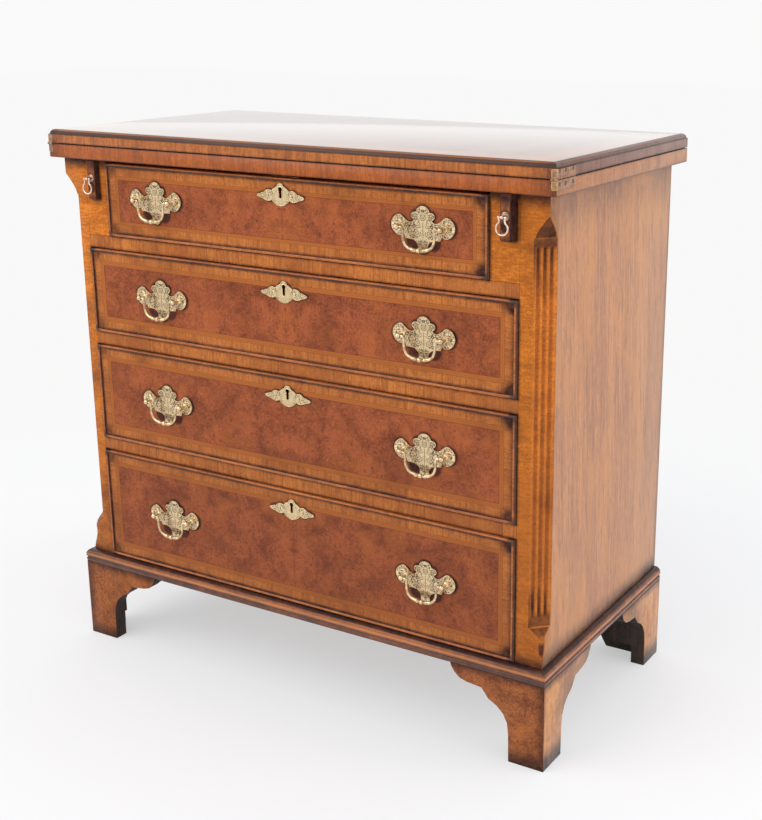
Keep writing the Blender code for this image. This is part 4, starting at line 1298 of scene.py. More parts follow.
    def frame_front(self, facing: Facing) -> Material:
        """Makes the cross-grained facing of rails, stiles and loper channels, with painted light on the cant and
        painted shade round the openings, under the top, above the moulding and in the carving.

        Args:
            facing: How the facing is laid.

        Returns:
            The material.
        """
        finish = Finish(facing.name, FRONT_POLISH)
        plan, tones = self.plan, facing.tones
        x, y, z = finish.position.split()
        on_rail = facing is RAIL_FACING
        joint = ((x if on_rail else z) + 0.017) / facing.piece
        row = finish.math("FLOOR", z / 0.1) if on_rail else finish.math("SIGN", x)
        chance = finish.chance(finish.combine(finish.math("FLOOR", joint), row, 0.0))
        vector = finish.along(facing.axis).stretch(1.0, 1.0, facing.stretch)
        vector = finish.vector("ADD", vector, finish.combine(0.0, chance * 5.0, 0.0))
        grain = self.grain(finish, vector, tones, 400.0, 42.0)
        colour = finish.blend(chance * 0.5, grain["Color"], tones.dark)
        seam = abs(finish.math("FRACT", joint) - 0.5)
        colour = finish.blend(seam.rise(0.494, 0.499, facing.seam), colour, JOINT_GRIME_AND_SHADE)
        shade, on_cant = self.carving_shade(finish, x, y, z)
        # Painted light: the cant is lightened where it turns away from the front light.
        colour = finish.blend(on_cant * 0.16, colour, CANT_PAINTED_LIGHT)
        holes = [*self.drawers] if on_rail else [*self.drawers, *(Place.of(f"loper_{word}") for word, _ in SIDES)]
        nearest = finish.smallest(*(
            finish.group(
                self.groups.opening, Vector=finish.position, Centre=hole.centre, Half_Width=hole.half_width,
                Half_Height=hole.half_height,
            )["Distance"]
            for hole in holes
        ))
        # Painted shade and grime round the openings, painted shadow under the top, and painted shade above the
        # moulding and in the carving.
        self.aged_and_shaded(
            finish, self.low_light(finish, colour, z), nearest.rise(0.0050, 0.0006, 0.66),
            z.rise(plan.leaf_low - 0.022, plan.leaf_low - 0.003, 0.88),
            z.rise(plan.floor_z + 0.022, plan.floor_z, 0.72), shade * on_cant, patina=facing.patina,
        )
        return finish.relief(grain["Height"], FINE_GRAIN_DEPTH, 0.3)

    def carving_shade(self, finish: Finish, x: Value, y: Value, z: Value) -> tuple[Value, Value]:
        """Finds the painted shade of the canted corner: in its flutes, on its pointed top and round its lower
        stop.

        Args:
            finish: The finish to add it to.
            x: The position's X.
            y: The position's Y.
            z: The position's Z.

        Returns:
            The shade, and the mask of the canted face.
        """
        carving = CarvedCorner.from_plan(self.plan)
        top, foot = carving.top_ledge, carving.bottom_ledge
        reach, inward = self.plan.half_width - abs(x), y - self.plan.front_y
        on_cant = finish.smallest(reach, inward).between(0.0003, 0.0012) * (
            finish.largest(reach, inward) < carving.setback + 2.4 * MM
        )
        depth = (reach + inward) / math.sqrt(2)
        ends = finish.largest(
            z.between(carving.flute_top - 0.060, carving.flute_top - 0.008),
            z.between(carving.flute_foot + 0.050, carving.flute_foot + 0.014),
        )
        groove = depth.between(carving.depth + 0.0010, carving.depth + 0.0023) * (ends * 0.54 + 0.24)
        arris = reach.between(carving.setback - 0.0055, carving.setback - 0.0010) * (ends * 0.55 + 0.06)
        above = z.rise(top + LEDGE_MARGIN, top + 2 * LEDGE_MARGIN, 0.78)
        notch = abs(z - (top - 0.005)).rise(0.010, 0.002, 0.72)
        block = z.rise(carving.flute_foot + 0.012, carving.flute_foot, 0.62) * (z > foot + 0.5 * LEDGE_MARGIN)
        wedge = z.rise(foot - 0.016, foot - 0.006, 0.62) * (z < foot - 0.8 * LEDGE_MARGIN)
        hollow = abs(z - carving.hollow).rise(0.013, 0.005, 0.78)
        return finish.largest(groove, arris, above, notch, block, wedge, hollow), on_cant

    def leaf_edge(self, leaf: Leaf, in_front: bool) -> Material:
        """Makes the cross-grained edge of one leaf, with a painted highlight on its moulding's crest and painted
        shade on the moulding, along its edges and at the quirk.

        Args:
            leaf: The leaf.
            in_front: Whether this is its front edge, and not an end.

        Returns:
            The material.
        """
        name, polish = ("front_edge", EDGE_POLISH) if in_front else ("end", END_POLISH)
        tones = leaf.front_tones if in_front else leaf.end_tones
        quirk, half = leaf.high - leaf.moulded, self.plan.leaf_half
        finish = Finish(f"{leaf.node}_{name}", polish)
        x, y, z = finish.position.split()
        chance = finish.chance(finish.combine(finish.math("FLOOR", (x + y) / 0.11), 0.0, 0.0))
        vector = finish.vector("ADD", finish.position, finish.combine(0.0, 0.0, chance * 6.0))
        grain = self.grain(finish, vector, tones, 360.0, 48.0)
        colour = finish.blend(chance * 0.2, grain["Color"], tones.dark)
        # Painted shade: the moulding above the quirk is dark, strongly in front and lightly on the ends.
        dark = z.rise(quirk - 0.0002, quirk + 0.0004, 0.92 if in_front else 0.35)
        colour = finish.blend(dark, colour, QUIRK_SHADE_BLACK)
        # Painted highlight along the moulding's crest.
        if leaf.moulded:
            colour = finish.blend(abs(z - (leaf.high - 1.3 * MM)).rise(0.0013, 0.0003, 0.5), colour, tones.light)
        # Painted shade along the bottom edge, at the quirk and along the top edge; in front it also darkens
        # towards the ends.
        shades = [
            (z - leaf.low).rise(0.0026, 0.0004, 0.6), abs(z - quirk).rise(0.0018, 0.0004, 0.7),
            (leaf.high - z).rise(0.0006, 0.0001, 0.6),
        ]
        if in_front:
            shades.append(abs(x).rise(half - 0.034, half, 0.6))
        self.aged_and_shaded(finish, colour, *shades)
        return finish.relief(grain["Height"], 0.05 * MM, 0.3)

    def leaf_face(self, name: str, polish: Polish) -> Material:
        """Makes a broad face of a leaf: matched walnut, a feather band and a crossbanded border.

        Args:
            name: The material's name.
            polish: How it takes the light.

        Returns:
            The material.
        """
        finish = Finish(name, polish)
        front, back, edge = self.plan.leaf_front, self.plan.leaf_back, self.leaf_edge_width
        x, y, _ = finish.position.split()
        deep = y - (front + back) / 2
        sloped = finish.get("ShaderNodeMapping", 0, {
            "Vector": finish.combine(abs(x), abs(deep), 0.0),
            "Rotation": (math.radians(90), 0.0, math.radians(24)),
        })
        figure = self.grain(finish, sloped, TABLE_TONES, 150.0, 11.0)
        band = finish.group(
            self.groups.banding, Vector=finish.combine(x, deep, 0.0), Half_Width=self.plan.leaf_half - edge,
            Half_Height=(back - front) / 2 - edge, Cross_Width=self.leaf_cross_width,
            Feather_Width=self.leaf_feather_width, Field=figure["Color"], Light=CROSS_TONES.light,
            Dark=CROSS_TONES.dark,
        )
        return self.aged_and_shaded(finish, band["Color"], band["Distance"].rise(0.006, 0.0, 0.7))

    def side(self) -> Material:
        """Makes the plain upright walnut of the ends, golden in places, paler towards the back, with painted shade
        under the top and above the moulding and darker along the back edge.

        Returns:
            The material.
        """
        finish = Finish("end_walnut", END_POLISH)
        plan = self.plan
        x, y, z = finish.position.split()
        vector = finish.combine(y + z * 0.055, x * 0.5, z * 0.3)
        grain = self.grain(finish, vector, SIDE_TONES, 420.0, 34.0)
        colour = finish.blend(finish.noise(vector, 14.0, 2.0).rise(0.45, 0.66, 0.55), grain["Color"], END_GOLD)
        # Paler and greyer towards the back.
        colour = finish.blend(y.rise(0.02, 0.19, 0.35), colour, END_PALER_BACK)
        lines = finish.noise(vector.stretch(1.0, 1.0, 0.35), 190.0, 3.0, 0.6)
        # Painted shade under the top and above the moulding, and darker along the back edge.
        self.aged_and_shaded(
            finish, finish.blend(lines.rise(0.55, 0.68, 0.38), colour, END_LINE),
            z.rise(plan.leaf_low - 0.070, plan.leaf_low, 0.34), z.rise(plan.leaf_low - 0.012, plan.leaf_low, 0.50),
            z.rise(plan.floor_z + 0.030, plan.floor_z, 0.72), y.rise(plan.back_y - 0.012, plan.back_y, 0.42),
            patina=0.10,
        )
        return finish.relief(grain["Height"], 0.08 * MM, 0.35)

    def moulding(self) -> Material:
        """Makes the base moulding: a bright bead with a painted highlight, and painted shade in its quirks, along
        its top and bottom and on its front fillet.

        Returns:
            The material.
        """
        finish = Finish("base_moulding_polish", MOULDED_POLISH)
        plan = self.plan
        x, y, z = finish.position.split()
        grain = self.grain(finish, finish.combine(z, y * 0.3, x + y), MOULDING_TONES, 160.0, 24.0)
        share = (z - plan.moulding_z) / (plan.floor_z - plan.moulding_z)
        # Painted highlight along the bead's crest.
        crest = abs(share - 0.60).rise(0.13, 0.03, 0.45)
        # Painted shade in the quirk, along the top under the carcase, along the bottom and on the front fillet.
        return self.aged_and_shaded(
            finish, finish.blend(crest, grain["Color"], CREST_PAINTED_HIGHLIGHT),
            abs(share - 0.335).rise(0.09, 0.03, 0.85), share.rise(0.76, 0.93, 0.90), share.rise(0.10, 0.02, 0.85),
            share.rise(0.33, 0.30, 0.5) * (y < plan.front_y - 1 * MM),
        )

    def foot(self) -> Material:
        """Makes the fronts of the feet: burr, with painted shade at top, bottom and arris.

        Returns:
            The material.
        """
        finish = Finish("foot_front_burr", FRONT_POLISH)
        corner = self.plan.foot_half
        x, _, z = finish.position.split()
        burr = self.burr(finish, finish.position, FOOT_TONES)
        arris = abs(x).rise(corner - 0.020, corner - 0.001, 0.62)
        return self.aged_and_shaded(finish, burr["Color"], *self.foot_shades(z), arris)

    def foot_side(self) -> Material:
        """Makes the outer sides of the feet, light in the middle, with painted shade round their edges.

        Returns:
            The material.
        """
        finish = Finish("foot_side_walnut", END_POLISH)
        _, y, z = finish.position.split()
        grain = self.grain(finish, finish.along(Axis.UPRIGHT), FLANK_TONES, 200.0, 30.0)
        from_end = finish.smallest(y - self.plan.foot_front, self.plan.back_y - y)
        return self.aged_and_shaded(
            finish, grain["Color"], *self.foot_shades(z), from_end.rise(0.0030, 0.0, 0.4),
            from_end.rise(0.045, 0.095, 0.35), z.rise(0.036, 0.010, 0.86),
        )

    def foot_shades(self, z: Value) -> tuple[Value, Value]:
        """Returns the painted shade below the moulding and above the floor."""
        level = self.plan.moulding_z
        return z.rise(level - 0.014, level, 0.66), z.rise(0.030, 0.002, 0.80)

    def plain(self, name: str, axis: Axis, tones: WoodTones) -> Material:
        """Makes an unpolished timber: the drawer linings, the back, the underside and the insides of the feet.

        Args:
            name: The material's name.
            axis: The axis that the grain runs along.
            tones: The timber.

        Returns:
            The material.
        """
        finish = Finish(name, RAW)
        grain = self.grain(finish, finish.along(axis), tones, 180.0, 10.0)
        finish.colour(grain["Color"])
        return finish.relief(grain["Height"], 0.15 * MM, 0.5)

    def loper(self) -> Material:
        """Makes the lopers: brown ends with painted shade and grime under the top, at the arrises, round the
        ring's rose and below it where the ring hangs, and near-black sides partly of painted shade.

        Returns:
            The material.
        """
        finish = Finish("loper_walnut", FRONT_POLISH)
        grain = self.grain(finish, finish.along(Axis.UPRIGHT), CROSS_TONES, 300.0, 30.0)
        x, _, z = finish.position.split()
        bars = [Place.of(f"loper_{word}") for word, _ in SIDES]
        low, high = bars[0].low[2], bars[0].high[2]
        across = finish.smallest(*(abs(x - bar.centre[0]) for bar in bars))
        rose_up = z - (high - self.rose_drop)
        rose = finish.combine(across, rose_up, 0.0).length()
        loop = finish.combine(across, (rose_up + self.loop_drop) * 0.75, 0.0).length()
        # Painted shade and grime under the top, at the bottom, on the sides and round the rose, and a painted
        # shadow of the ring below it.
        return self.aged_and_shaded(
            finish, finish.blend(0.45, grain["Color"], LOPER_BROWN), z.rise(high - 0.016, high - 0.002, 0.7),
            z.rise(low + 0.012, low + 0.001, 0.72), across.rise(0.0045, 0.0069, 0.9),
            rose.rise(0.0115, 0.0055, 0.7), z.rise(high - 0.024, high - 0.004, 0.85),
            loop.rise(0.0085, 0.0050, 0.8),
        )


@dataclass(frozen=True)
class MetalFinish:
    """A metal with an aged skin."""

    name: str
    bright: Colour
    dull: Colour
    roughness: float
    metallic: float = 1.0

    def build(self) -> Material:
        """Makes the material.

        Returns:
            The material.
        """
        finish = Finish(self.name, Polish(self.roughness, metallic=self.metallic))
        skin = finish.noise(finish.position, 240.0, 5.0, 0.65)
        tone = skin * 0.6 + finish.noise(finish.position, 60.0, 3.0) * 0.4
        finish.colour(finish.blend(tone.between(0.38, 0.64), self.bright, self.dull))
        finish.rough(skin * 0.22 + (self.roughness - 0.08))
        return finish.relief(finish.noise(finish.position, 520.0, 4.0, 0.6), 0.12 * MM, 0.6)


@dataclass(frozen=True)
class ChasedBrass:
    """Brass cast and chased with close scrollwork, dark in its hollows."""

    name: str
    bright: Colour
    hollow: Colour

    def build(self) -> Material:
        """Makes the material from the piece's own plate map, so that every plate has the same chasing.

        Returns:
            The material.
        """
        finish = Finish(self.name, Polish(0.34, metallic=1.0))
        x, z, _ = finish.get("ShaderNodeUVMap", 0, {}, uv_map="plate").split()
        folded = finish.combine(abs(x), z, 0.0)
        warp = finish.get("ShaderNodeTexNoise", "Color", {"Vector": folded, "Scale": 95.0})
        bent = finish.vector("ADD", folded, warp.stretch(0.012, 0.012, 0.0))
        curl = finish.math("SINE", finish.cells(bent, 190.0)["Distance"] * 15.0)
        scratch = finish.noise(bent.stretch(1.0, 0.25, 1.0), 1100.0, 3.0, 0.6)
        calm = folded.stretch(1.0, 0.6, 1.0).length().rise(0.017, 0.006, 0.7)
        height = curl * (1.0 - calm) * 0.34 + scratch * 0.70
        mask = height.between(0.38, 0.05)
        finish.colour(finish.blend(mask * 0.80, self.bright, self.hollow))
        finish.rough(mask * 0.2 + 0.30)
        return finish.relief(height, 0.14 * MM, 0.8)


class Finishes:
    """Every material that more than one piece of the chest uses, by its use."""

    def __init__(self, wood: WoodRoom) -> None:
        """Makes the shared materials.

        Args:
            wood: The room that makes the wooden ones.
        """
        self.wood = wood
        self.brass = MetalFinish("aged_brass", (0.90, 0.70, 0.43), (0.44, 0.305, 0.17), 0.24).build()
        self.pale_brass = MetalFinish("pale_brass", (0.92, 0.73, 0.46), (0.56, 0.40, 0.22), 0.24).build()
        self.chased = ChasedBrass("chased_brass", (0.80, 0.605, 0.365), (0.070, 0.043, 0.025)).build()
        self.pale_chased = ChasedBrass("pale_chased_brass", (0.78, 0.60, 0.355), (0.14, 0.090, 0.050)).build()
        self.patina = MetalFinish("brown_patina", (0.42, 0.225, 0.130), (0.24, 0.125, 0.080), 0.42, 0.35).build()
        self.rust = MetalFinish("rusty_screw", (0.27, 0.110, 0.070), (0.13, 0.055, 0.036), 0.5, 0.3).build()
        self.yellow_brass = MetalFinish("yellow_brass", (0.92, 0.58, 0.19), (0.50, 0.27, 0.09), 0.26).build()
        self.rose = MetalFinish("rose_copper", (0.56, 0.36, 0.27), (0.22, 0.13, 0.09), 0.34).build()
        self.copper = MetalFinish("ring_copper", (0.96, 0.76, 0.63), (0.70, 0.46, 0.35), 0.24).build()
        self.steel = MetalFinish("lock_steel", (0.30, 0.29, 0.28), (0.12, 0.11, 0.10), 0.45).build()
        self.dirt_and_shade = self.make_dirt_and_shade()
        self.dovetails = wood.dovetails()
        self.bead = wood.bead()
        self.rail = wood.frame_front(RAIL_FACING)
        self.stile = wood.frame_front(STILE_FACING)
        self.side = wood.side()
        self.board = wood.plain("plain_board", Axis.ACROSS, BOARD_TONES)
        # Near-black for the insides of the feet: staining and painted shade together.
        self.stain_and_shade = wood.plain("dark_stain", Axis.UPRIGHT, STAIN_AND_SHADE_TONES)

    @staticmethod
    def make_dirt_and_shade() -> Material:
        """Makes the dark skin of grime and painted shade that sits in engraved lines, screw slots and hollows.

        Returns:
            The material.
        """
        finish = Finish("dark_hollow", RAW)
        finish.colour(finish.blend(finish.noise(finish.position, 400.0), DIRT_AND_SHADE_DARK, DIRT_AND_SHADE_LIGHT))
        return finish.material


# The woodwork


@dataclass
class Boards:
    """The boards that are polished copies of the CAD nodes."""

    finishes: Finishes
    arris: float = 0.5 * MM
    foot_arris: float = 0.8 * MM
    leaf_arris: float = 0.35 * MM
    leaf_gap: float = 1 * MM
    leaf_moulding: float = 6.5 * MM
    leaf_face_area: float = 0.05
    skin: float = 0.2 * MM
    foot_skin: float = 1.5 * MM
    cant_margin: float = 1 * MM

    def build(self) -> None:
        """Makes every board of the carcase, top, feet and drawer linings."""
        self.leaves()
        self.carcase()
        self.posts()
        self.feet()
        self.lopers()
        self.linings()

    def leaves(self) -> None:
        """Makes both leaves of the top, with veneered faces, crossbanded front edges and plain ends."""
        wood = self.finishes.wood
        plan = wood.plan
        outside = wood.leaf_face("leaf_outside", TABLE_POLISH)
        inside = wood.leaf_face("leaf_inside", INSIDE_POLISH)
        for leaf in (
            Leaf("lower_leaf", "carcase", plan.leaf_low, plan.leaf_joint, 0.0, LOWER_EDGE_TONES, LOWER_END_TONES),
            Leaf(
                "upper_leaf", "flap", plan.leaf_joint + self.leaf_gap, plan.top_z, self.leaf_moulding,
                UPPER_EDGE_TONES, UPPER_END_TONES,
            ),
        ):
            front, end = wood.leaf_edge(leaf, in_front=True), wood.leaf_edge(leaf, in_front=False)
            board = Blank.copy_of(leaf.node).ease(self.leaf_arris, 2, 60.0).paint(0)
            board.bm.normal_update()
            board.paint(2, [f for f in board.bm.faces if abs(f.normal.x) > abs(f.normal.y)])
            for index, normal in ((1 if leaf.moulded else 3, (0, 0, 1)), (3, (0, 0, -1))):
                board.paint(index, [f for f in board.facing(normal, FLAT) if f.calc_area() > self.leaf_face_area])
            board.finish(
                f"polished_{leaf.node}", leaf.body, "walnut_leaf", [front, outside, end, inside], [leaf.node], 50.0
            )

    def carcase(self) -> None:
        """Makes the ends, back, bottom, rails, loper channels and base moulding."""
        done = self.finishes
        plan = done.wood.plan
        for word, side in SIDES:
            node = f"side_panel_{word}"
            panel = Blank.copy_of(node).paint(1)
            panel.paint(0, panel.outer(side, plan.half_width - self.skin))
            panel.finish(f"polished_end_{word}", "carcase", "walnut_side", [done.side, done.board], [node])
        for node, name, facing, slot in (
            *((f"loper_housing_{word}", f"loper_channel_{word}", done.stile, "walnut_front") for word, _ in SIDES),
            *((f"drawer_divider_{i}", f"drawer_rail_{i}", done.rail, "walnut_front") for i in (1, 2, 3)),
            ("carcase_bottom", "bottom_board", done.rail, "plain_board"),
            ("back_panel", "back_boards", done.rail, "plain_board"),
        ):
            board = Blank.copy_of(node).paint(1)
            board.paint(0, board.foremost(plan.front_y + self.skin))
            board.finish(name, "carcase", slot, [facing, done.board], [node])
        moulding = Blank.copy_of("base_moulding")
        moulding.finish(
            "polished_base_moulding", "carcase", "walnut_moulding", [done.wood.moulding()], ["base_moulding"], 50.0
        )

    def posts(self) -> None:
        """Makes the stiles with their fluted cants: facing in front, end walnut outside, plain board within."""
        done = self.finishes
        plan = done.wood.plan
        inner = plan.half_width - CarvedCorner.from_plan(plan).setback - self.cant_margin
        for word, side in SIDES:
            node = f"corner_post_{word}"
            post = Blank.copy_of(node).paint(0)
            post.paint(1, post.outer(side, plan.half_width - self.skin))
            post.paint(2, post.facing(BACKWARD))
            post.paint(2, [f for f in post.facing((-side, 0, 0)) if side * f.calc_center_median().x < inner])
            finishes = [done.stile, done.side, done.board]
            post.finish(f"fluted_stile_{word}", "carcase", "walnut_front", finishes, [node], 46.0)

    def feet(self) -> None:
        """Makes the bracket feet: burr in front, plain walnut outside and near-black within, for both staining and
        the shade inside them.
        """
        wood = self.finishes.wood
        finishes = [wood.foot(), wood.foot_side(), self.finishes.stain_and_shade]
        for end in ("front", "rear"):
            for word, side in SIDES:
                node = f"foot_{end}_{word}"
                foot = Blank.copy_of(node).ease(self.foot_arris).paint(2)
                foot.paint(1, foot.outer(side, wood.plan.foot_half - self.foot_skin))
                if end == "front":
                    foot.paint(0, foot.foremost(wood.plan.foot_front + self.foot_skin))
                foot.finish(f"bracket_{end}_{word}", "carcase", "burr_walnut", finishes, [node])

    def lopers(self) -> None:
        """Makes the two bars that carry the opened top."""
        polish = self.finishes.wood.loper()
        for word, _ in SIDES:
            bar = Blank.copy_of(f"loper_{word}").ease(self.arris)
            bar.finish(f"loper_bar_{word}", f"loper_{word}", "walnut_front", [polish], [f"loper_{word}"])

    def linings(self) -> None:
        """Makes the oak sides, backs and bottoms of the drawers."""
        wood = self.finishes.wood
        linings = (
            ("drawer_box", "drawer_sides", wood.plain("oak_lining", Axis.DEPTH, OAK_TONES)),
            ("drawer_bottom", "drawer_base", wood.plain("oak_bottom", Axis.ACROSS, OAK_TONES)),
        )
        for number in DRAWERS:
            for node, name, oak in linings:
                lining = Blank.copy_of(f"{node}_{number}")
                lining.finish(f"{name}_{number}", f"drawer_{number}", "drawer_oak", [oak], [f"{node}_{number}"])


@dataclass
class DrawerFronts:
    """The veneered and beaded drawer fronts with their locks."""

    finishes: Finishes
    bead_width: float = 4.2 * MM
    bead_proud: float = 2.8 * MM
    bead_round: float = 1.75 * MM
    keyhole_margin: float = 0.3 * MM
    overcut: float = 5 * MM
    lock_half: float = 23 * MM
    lock_skin: float = 1.2 * MM
    lock_drop: float = 19 * MM
    lock_below_top: float = 10 * MM
    lock_arris: float = 0.3 * MM
    strip_depth: float = 9 * MM
    strip_proud: float = 0.3 * MM
    strip_arris: float = 0.1 * MM
    hollow_half: float = 4 * MM
    hollow_rise: float = 14 * MM
    hollow_skin: float = 0.6 * MM
    pin_rise: float = 9.8 * MM
    pin_radius: float = 0.9 * MM

    def build(self) -> None:
        """Makes the four fronts."""
        for place in self.finishes.wood.drawers:
            level = Escutcheons.tip_level(place.number)
            self.front(place, level)
            self.lock(place, level)

    def front(self, place: Place, level: float) -> None:
        """Makes one front: a board, its raised bead, its veneered field with the keyhole and its joints.

        Args:
            place: The front's place.
            level: The height of its keyhole plate.
        """
        number, done = place.number, self.finishes
        face_y = place.low[1] + self.bead_proud
        board = Blank.block((place.low[0], face_y, place.low[2]), place.high)
        rim = board.inset(board.facing(FORWARD), self.bead_width, 0.0)
        raised = bmesh.ops.extrude_face_region(board.bm, geom=rim)["geom"]
        bmesh.ops.translate(board.bm, verts=only_verts(raised), vec=(0.0, -self.bead_proud, 0.0))
        bmesh.ops.delete(board.bm, geom=[f for f in rim if f.is_valid], context="FACES_ONLY")
        board.outward()
        crest = place.low[1] + 1e-6
        ridge = [e for e in board.bm.edges if all(v.co.y < crest for v in e.verts)]
        board.bevel([e for e in ridge if e.calc_face_angle(0.0) > 1.0], self.bead_round, 5)
        hole = [(x, z + level) for x, z in Escutcheons.keyhole_outline(self.keyhole_margin)]
        board.cut(Blank.board(hole, face_y - self.overcut, place.high[1] + self.overcut)).paint(1)
        field = [f for f in board.facing(FORWARD, FLAT) if abs(f.calc_center_median().y - face_y) < SAME_PLACE]
        board.paint(0, field).paint(2, board.facing(BACKWARD, FLAT))
        for _, side in SIDES:
            board.paint(3, board.outer(side, place.half_width - SAME_PLACE))
        plate_low, plate_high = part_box(f"handle_plate_{number}_right")
        handle = ((plate_low[0] + plate_high[0]) / 2, face_y, plate_high[2] - Handles.axis_drop)
        veneer = done.wood.drawer_veneer(place, self.bead_width, handle, level)
        board.finish(
            f"veneered_front_{number}", f"drawer_{number}", "burr_walnut",
            [veneer, done.bead, done.board, done.dovetails], [f"drawer_front_{number}"], 35.0,
        )

    def lock(self, place: Place, level: float) -> None:
        """Makes the lock's plate on the back of the front, its pin, the strip let into the top edge and a dark
        block behind the keyhole as painted shade.

        Args:
            place: The front's place.
            level: The height of its keyhole plate.
        """
        half, back, top = self.lock_half, place.high[1], place.high[2]
        rear, inner = back + self.lock_skin, back - self.strip_depth
        case = Blank.block((-half, back, level - self.lock_drop), (half, rear, top - self.lock_below_top))
        strip = Blank.block((-half, inner, top), (half, rear, top + self.strip_proud)).ease(self.strip_arris)
        # A dark block behind the keyhole: painted shade inside the lock.
        hollow = Blank.block(
            (-self.hollow_half, back - self.hollow_skin, level - self.hollow_half),
            (self.hollow_half, back, level + self.hollow_rise),
        )
        pin = Blank.turned(rod(inner, back, self.pin_radius), Axis.DEPTH, 10).paint(2)
        case.ease(self.lock_arris).join(strip, hollow.paint(1), pin.move((0.0, 0.0, level + self.pin_rise)))
        done = self.finishes
        case.finish(
            f"drawer_lock_{place.number}", f"drawer_{place.number}", "antique_brass",
            [done.brass, done.dirt_and_shade, done.steel],
        )


# The brasswork


def rod(start: float, end: float, radius: float) -> list[tuple[float, float]]:
    """Returns the profile of a plain rod with flat ends."""
    return [(start, 0.0), (start, radius), (end, radius), (end, 0.0)]


def ball_head(radius: float, stem: float, steps: int = 9) -> list[tuple[float, float]]:
    """Returns the profile of a ball about the origin, from its front to where it meets a stem behind it.

    Args:
        radius: The ball's radius.
        stem: The stem's radius.
        steps: The number of steps along it.

    Returns:
        The (distance along the axis, radius) points.
    """
    neck = math.pi - math.asin(stem / radius)
    arc = [neck * i / steps for i in range(steps + 1)]
    return [(-radius * math.cos(a), radius * math.sin(a)) for a in arc]


def laid(points: Sequence[Point], depth: float) -> list[Point]:
    """Returns the points of a flat line laid at a depth."""
    return [(x, depth, z) for x, _, z in points]


@dataclass
class Escutcheons:
    """The keyhole plates."""

    finishes: Finishes
    half_width: float = 38.8 * MM
    height: float = 30.6 * MM
    thickness: float = 1.5 * MM
    rim: float = 0.9 * MM
    sunk: float = 0.35 * MM
    outline_shares: Profile = (
        (0.0, 0.565), (0.09, 0.529), (0.152, 0.418), (0.18, 0.392), (0.271, 0.337), (0.348, 0.261),
        (0.379, 0.229), (0.443, 0.258), (0.528, 0.268), (0.637, 0.212), (0.722, 0.111), (0.786, 0.118),
        (0.871, 0.065), (0.928, 0.059), (1.0, 0.0), (0.979, -0.065), (0.876, -0.118), (0.773, -0.144),
        (0.67, -0.203), (0.541, -0.242), (0.438, -0.216), (0.379, -0.176), (0.271, -0.301), (0.142, -0.399),
        (0.0, -0.435),
    )
    notches: tuple[int, ...] = (3, 6, 10, 12, 17, 21)
    overcut: float = 5 * MM
    wire_sunk: float = 0.1 * MM
    wire_margin: float = 0.75 * MM
    wire_radius: float = 0.62 * MM
    dome_share: float = 0.62
    pin: tuple[float, float, float] = (17.5, 1.0, 1.8)
    beads: tuple[tuple[float, float, float], ...] = (
        (36.6, 0.2, 1.3), (33.2, 0.2, 1.0), (29.6, 0.2, 0.8), (24.5, 3.2, 0.8), (24.5, -3.4, 0.8),
        (11.8, 7.2, 1.0), (11.6, -4.6, 0.9), (6.6, -9.0, 0.8), (7.4, 11.6, 0.8),
    )

    @classmethod
    def tip_level(cls, number: int) -> float:
        """Returns the height of the side tips of one drawer's plate."""
        low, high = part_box(f"escutcheon_{number}")
        return low[2] + (high[2] - low[2]) * -cls.outline_shares[-1][1]

    @staticmethod
    def keyhole_outline(margin: float, steps: int = 8) -> list[tuple[float, float]]:
        """Returns the keyhole about the tips' level, grown by a margin.

        Args:
            margin: How much wider it is on each side.
            steps: The number of steps round its head.

        Returns:
            The (x, z) points in order.
        """
        radius, half, top, drop = 3.1 * MM + margin, 2.0 * MM + margin, 9.2 * MM, -3.0 * MM - margin
        start = math.asin(half / radius)
        arc = [start + (2 * math.pi - 2 * start) * i / steps for i in range(steps + 1)]
        head = [(radius * math.sin(a), top - radius * math.cos(a)) for a in arc]
        foot = [(-half, drop + half), (-half * 0.7, drop + half * 0.3), (0.0, drop)]
        return head + foot + [(-x, z) for x, z in reversed(foot[:-1])]

    def build(self) -> None:
        """Makes the four plates."""
        for number in DRAWERS:
            self.plate(number)

    def plate(self, number: int) -> None:
        """Makes one plate: raised rim, chased ground, beaded tips, pins and a rim round the keyhole.

        Args:
            number: The drawer's number.
        """
        _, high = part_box(f"escutcheon_{number}")
        half = smoothed([(self.half_width * x, self.height * z) for x, z in self.outline_shares], self.notches)
        plate = Blank.rimmed(mirrored(half), -self.thickness, self.thickness, self.rim, self.sunk)
        floor = self.sunk - self.thickness
        plate.cut(Blank.board(self.keyhole_outline(0.0), -self.overcut, self.overcut)).paint_ground(floor)
        path = [(x, floor - self.wire_sunk, z) for x, z in self.keyhole_outline(self.wire_margin)]
        extras = [Blank.swept(path, self.wire_radius, 8, closed=True)]
        for _, side in SIDES:
            for x, z, radius in (self.pin, *self.beads):
                dome = Blank.dome(radius * MM, radius * self.dome_share * MM)
                extras.append(dome.move((side * x * MM, floor, z * MM)))
        plate.join(*extras).map_plate().move((0.0, high[1], self.tip_level(number)))
        plate.finish(
            f"keyhole_plate_{number}", f"drawer_{number}", "antique_brass",
            [self.finishes.pale_brass, self.finishes.pale_chased], [f"escutcheon_{number}"],
        )


